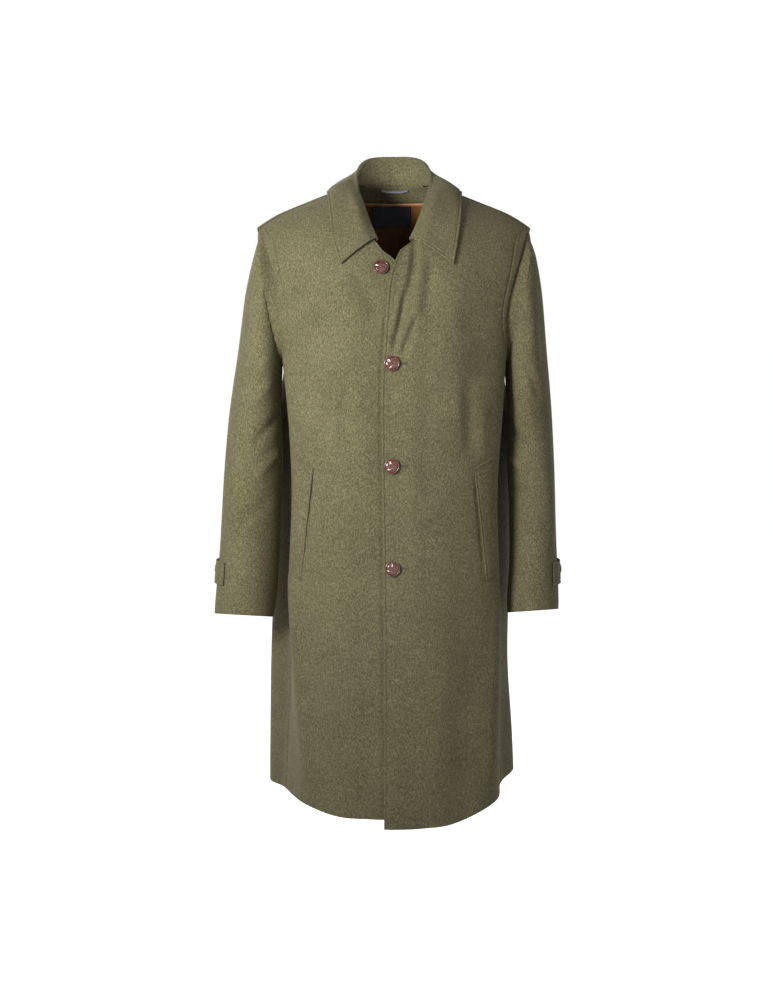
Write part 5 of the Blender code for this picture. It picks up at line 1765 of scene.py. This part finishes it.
def make_loop(back, looks):
    line = []
    for t in np.linspace(-1, 1, 13):
        z = SHOULDER_ROWS[-1].back_z - LOOP_BELOW - 0.3 * LOOP_SAG * (1 - t**4)
        depth = INSIDE_DEPTH + FACING_CLOTH + LOOP_R + LOOP_OFF + LOOP_SWELL * (1 - t**2)
        line.append(inside_at(back, LOOP_X + t * LOOP_WIDTH / 2, z, depth))
    points = fine_line(line, 110)
    run = unit(np.gradient(points, axis=0))
    lean = np.array([0.0, -0.75, 0.66])
    outwards = unit(lean - run * (run @ lean)[:, None])
    across = np.cross(run, outwards)
    make_cord(
        "hanger_tape", points, across, outwards, looks["tape"], "loop_grey", "hanger_loop", TAPE_HALF
    )


# Stage, light and camera

FLOOR_Z = -1.42
CAMERA_AT = (-0.0125, -3.2, -0.18)
CAMERA_DOWN_DEG = 6.66
CAMERA_LENS = 65.16
# The stage is flat out to one radius, and sweeps up by another into its wall
STAGE_FLAT_R = 5.0
STAGE_SWEEP_R = 2.0
STAGE_HEIGHT = 9.0


def make_stage(spokes=96):
    """A round pale floor that sweeps up into a wall on all sides."""
    sweep = [
        (STAGE_FLAT_R + STAGE_SWEEP_R * math.sin(a), STAGE_SWEEP_R - STAGE_SWEEP_R * math.cos(a))
        for a in np.linspace(0, math.pi / 2, 16)
    ]
    wall_r = STAGE_FLAT_R + STAGE_SWEEP_R
    profile = [(0.5, 0.0), (2.5, 0.0), *sweep, (wall_r, 4.0), (wall_r, STAGE_HEIGHT)]
    angles = np.arange(spokes) * 2 * math.pi / spokes
    verts = [(r * math.cos(a), r * math.sin(a), FLOOR_Z + z) for r, z in profile for a in angles]
    faces = grid_faces(len(profile), spokes, 0, closed=True)[:, ::-1].tolist()
    faces.append(tuple(range(spokes)))
    mesh = bpy.data.meshes.new("pale_floor")
    mesh.from_pydata(verts, [], faces)
    mesh.shade_smooth()
    look = Look(
        "pale_floor", Base_Color=(0.6, 0.6, 0.6, 1.0), Roughness=0.9, Specular_IOR_Level=0.1,
        Emission_Color=(1.0, 1.0, 1.0, 1.0), Emission_Strength=0.82,
    )
    mesh.materials.append(look.material)
    obj = bpy.data.objects.new("pale_floor", mesh)
    bpy.context.scene.collection.objects.link(obj)
    obj.visible_diffuse = False


def add_light(name, at, aim, size, power, spread_deg=180):
    light = bpy.data.lights.new(name, "AREA")
    light.shape = "DISK"
    light.size = size
    light.energy = power
    light.spread = math.radians(spread_deg)
    obj = bpy.data.objects.new(name, light)
    obj.location = at
    direction = Vector(aim) - Vector(at)
    obj.rotation_euler = direction.to_track_quat("-Z", "Y").to_euler()
    obj.visible_camera = False
    bpy.context.scene.collection.objects.link(obj)


def make_light():
    world = bpy.data.worlds.new("studio")
    world.use_nodes = True
    world.node_tree.nodes["Background"].inputs["Color"].default_value = (1.0, 1.0, 1.0, 1.0)
    world.node_tree.nodes["Background"].inputs["Strength"].default_value = 0.28
    bpy.context.scene.world = world
    bpy.context.scene.view_settings.view_transform = "Standard"
    add_light("key", (-0.88, -1.28, -0.08), (-0.05, 0.0, -0.16), 0.55, 14.0, spread_deg=118)
    add_light("fill_right", (2.6, -1.6, 0.4), (0.0, 0.0, -0.5), 2.0, 9.0)
    add_light("fill_back", (-1.2, 2.6, 1.2), (0.0, 0.0, -0.5), 1.6, 75.0)


def make_camera():
    camera = bpy.data.cameras.new("camera")
    camera.sensor_width = 36.0
    camera.lens = CAMERA_LENS
    obj = bpy.data.objects.new("camera", camera)
    obj.location = CAMERA_AT
    obj.rotation_euler = (math.radians(90 - CAMERA_DOWN_DEG), 0.0, 0.0)
    bpy.context.scene.collection.objects.link(obj)
    bpy.context.scene.camera = obj


def make_looks():
    return {
        "loden": loden_material(),
        "thread": thread_material("olive_thread", (0.1, 0.09, 0.048)),
        "thread_dark": thread_material("buttonhole_thread", (0.06, 0.052, 0.026)),
        "thread_navy": thread_material("label_thread", (0.012, 0.013, 0.022)),
        # The two colours of each satin are its painted shade and its painted sheen
        "satin": satin_material("lining_satin", (0.09, 0.036, 0.013), (0.24, 0.104, 0.04)),
        "piping": satin_material("piping_satin", (0.34, 0.135, 0.045), (0.46, 0.2, 0.07)),
        "label": woven_material("woven_label", (0.003, 0.004, 0.008), (0.009, 0.011, 0.02)),
        "tape": satin_material("loop_tape", (0.13, 0.13, 0.17), (0.24, 0.24, 0.29)),
        "button": button_material(),
    }


def main():
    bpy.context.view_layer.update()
    make_camera()
    make_light()
    make_stage()
    looks = make_looks()
    make_front(1, looks)
    make_front(-1, looks)
    make_back(looks)
    make_sleeve(1, looks)
    make_sleeve(-1, looks)
    make_collar(looks)
    left, right, back = front_panel(1), front_panel(-1), back_panel()
    make_welt(1, left, looks)
    make_welt(-1, right, looks)
    make_tab(1, looks)
    make_tab(-1, looks)
    make_buttons(left, right, looks)
    make_buttonholes(left, looks)
    make_inside(back, looks)


main()
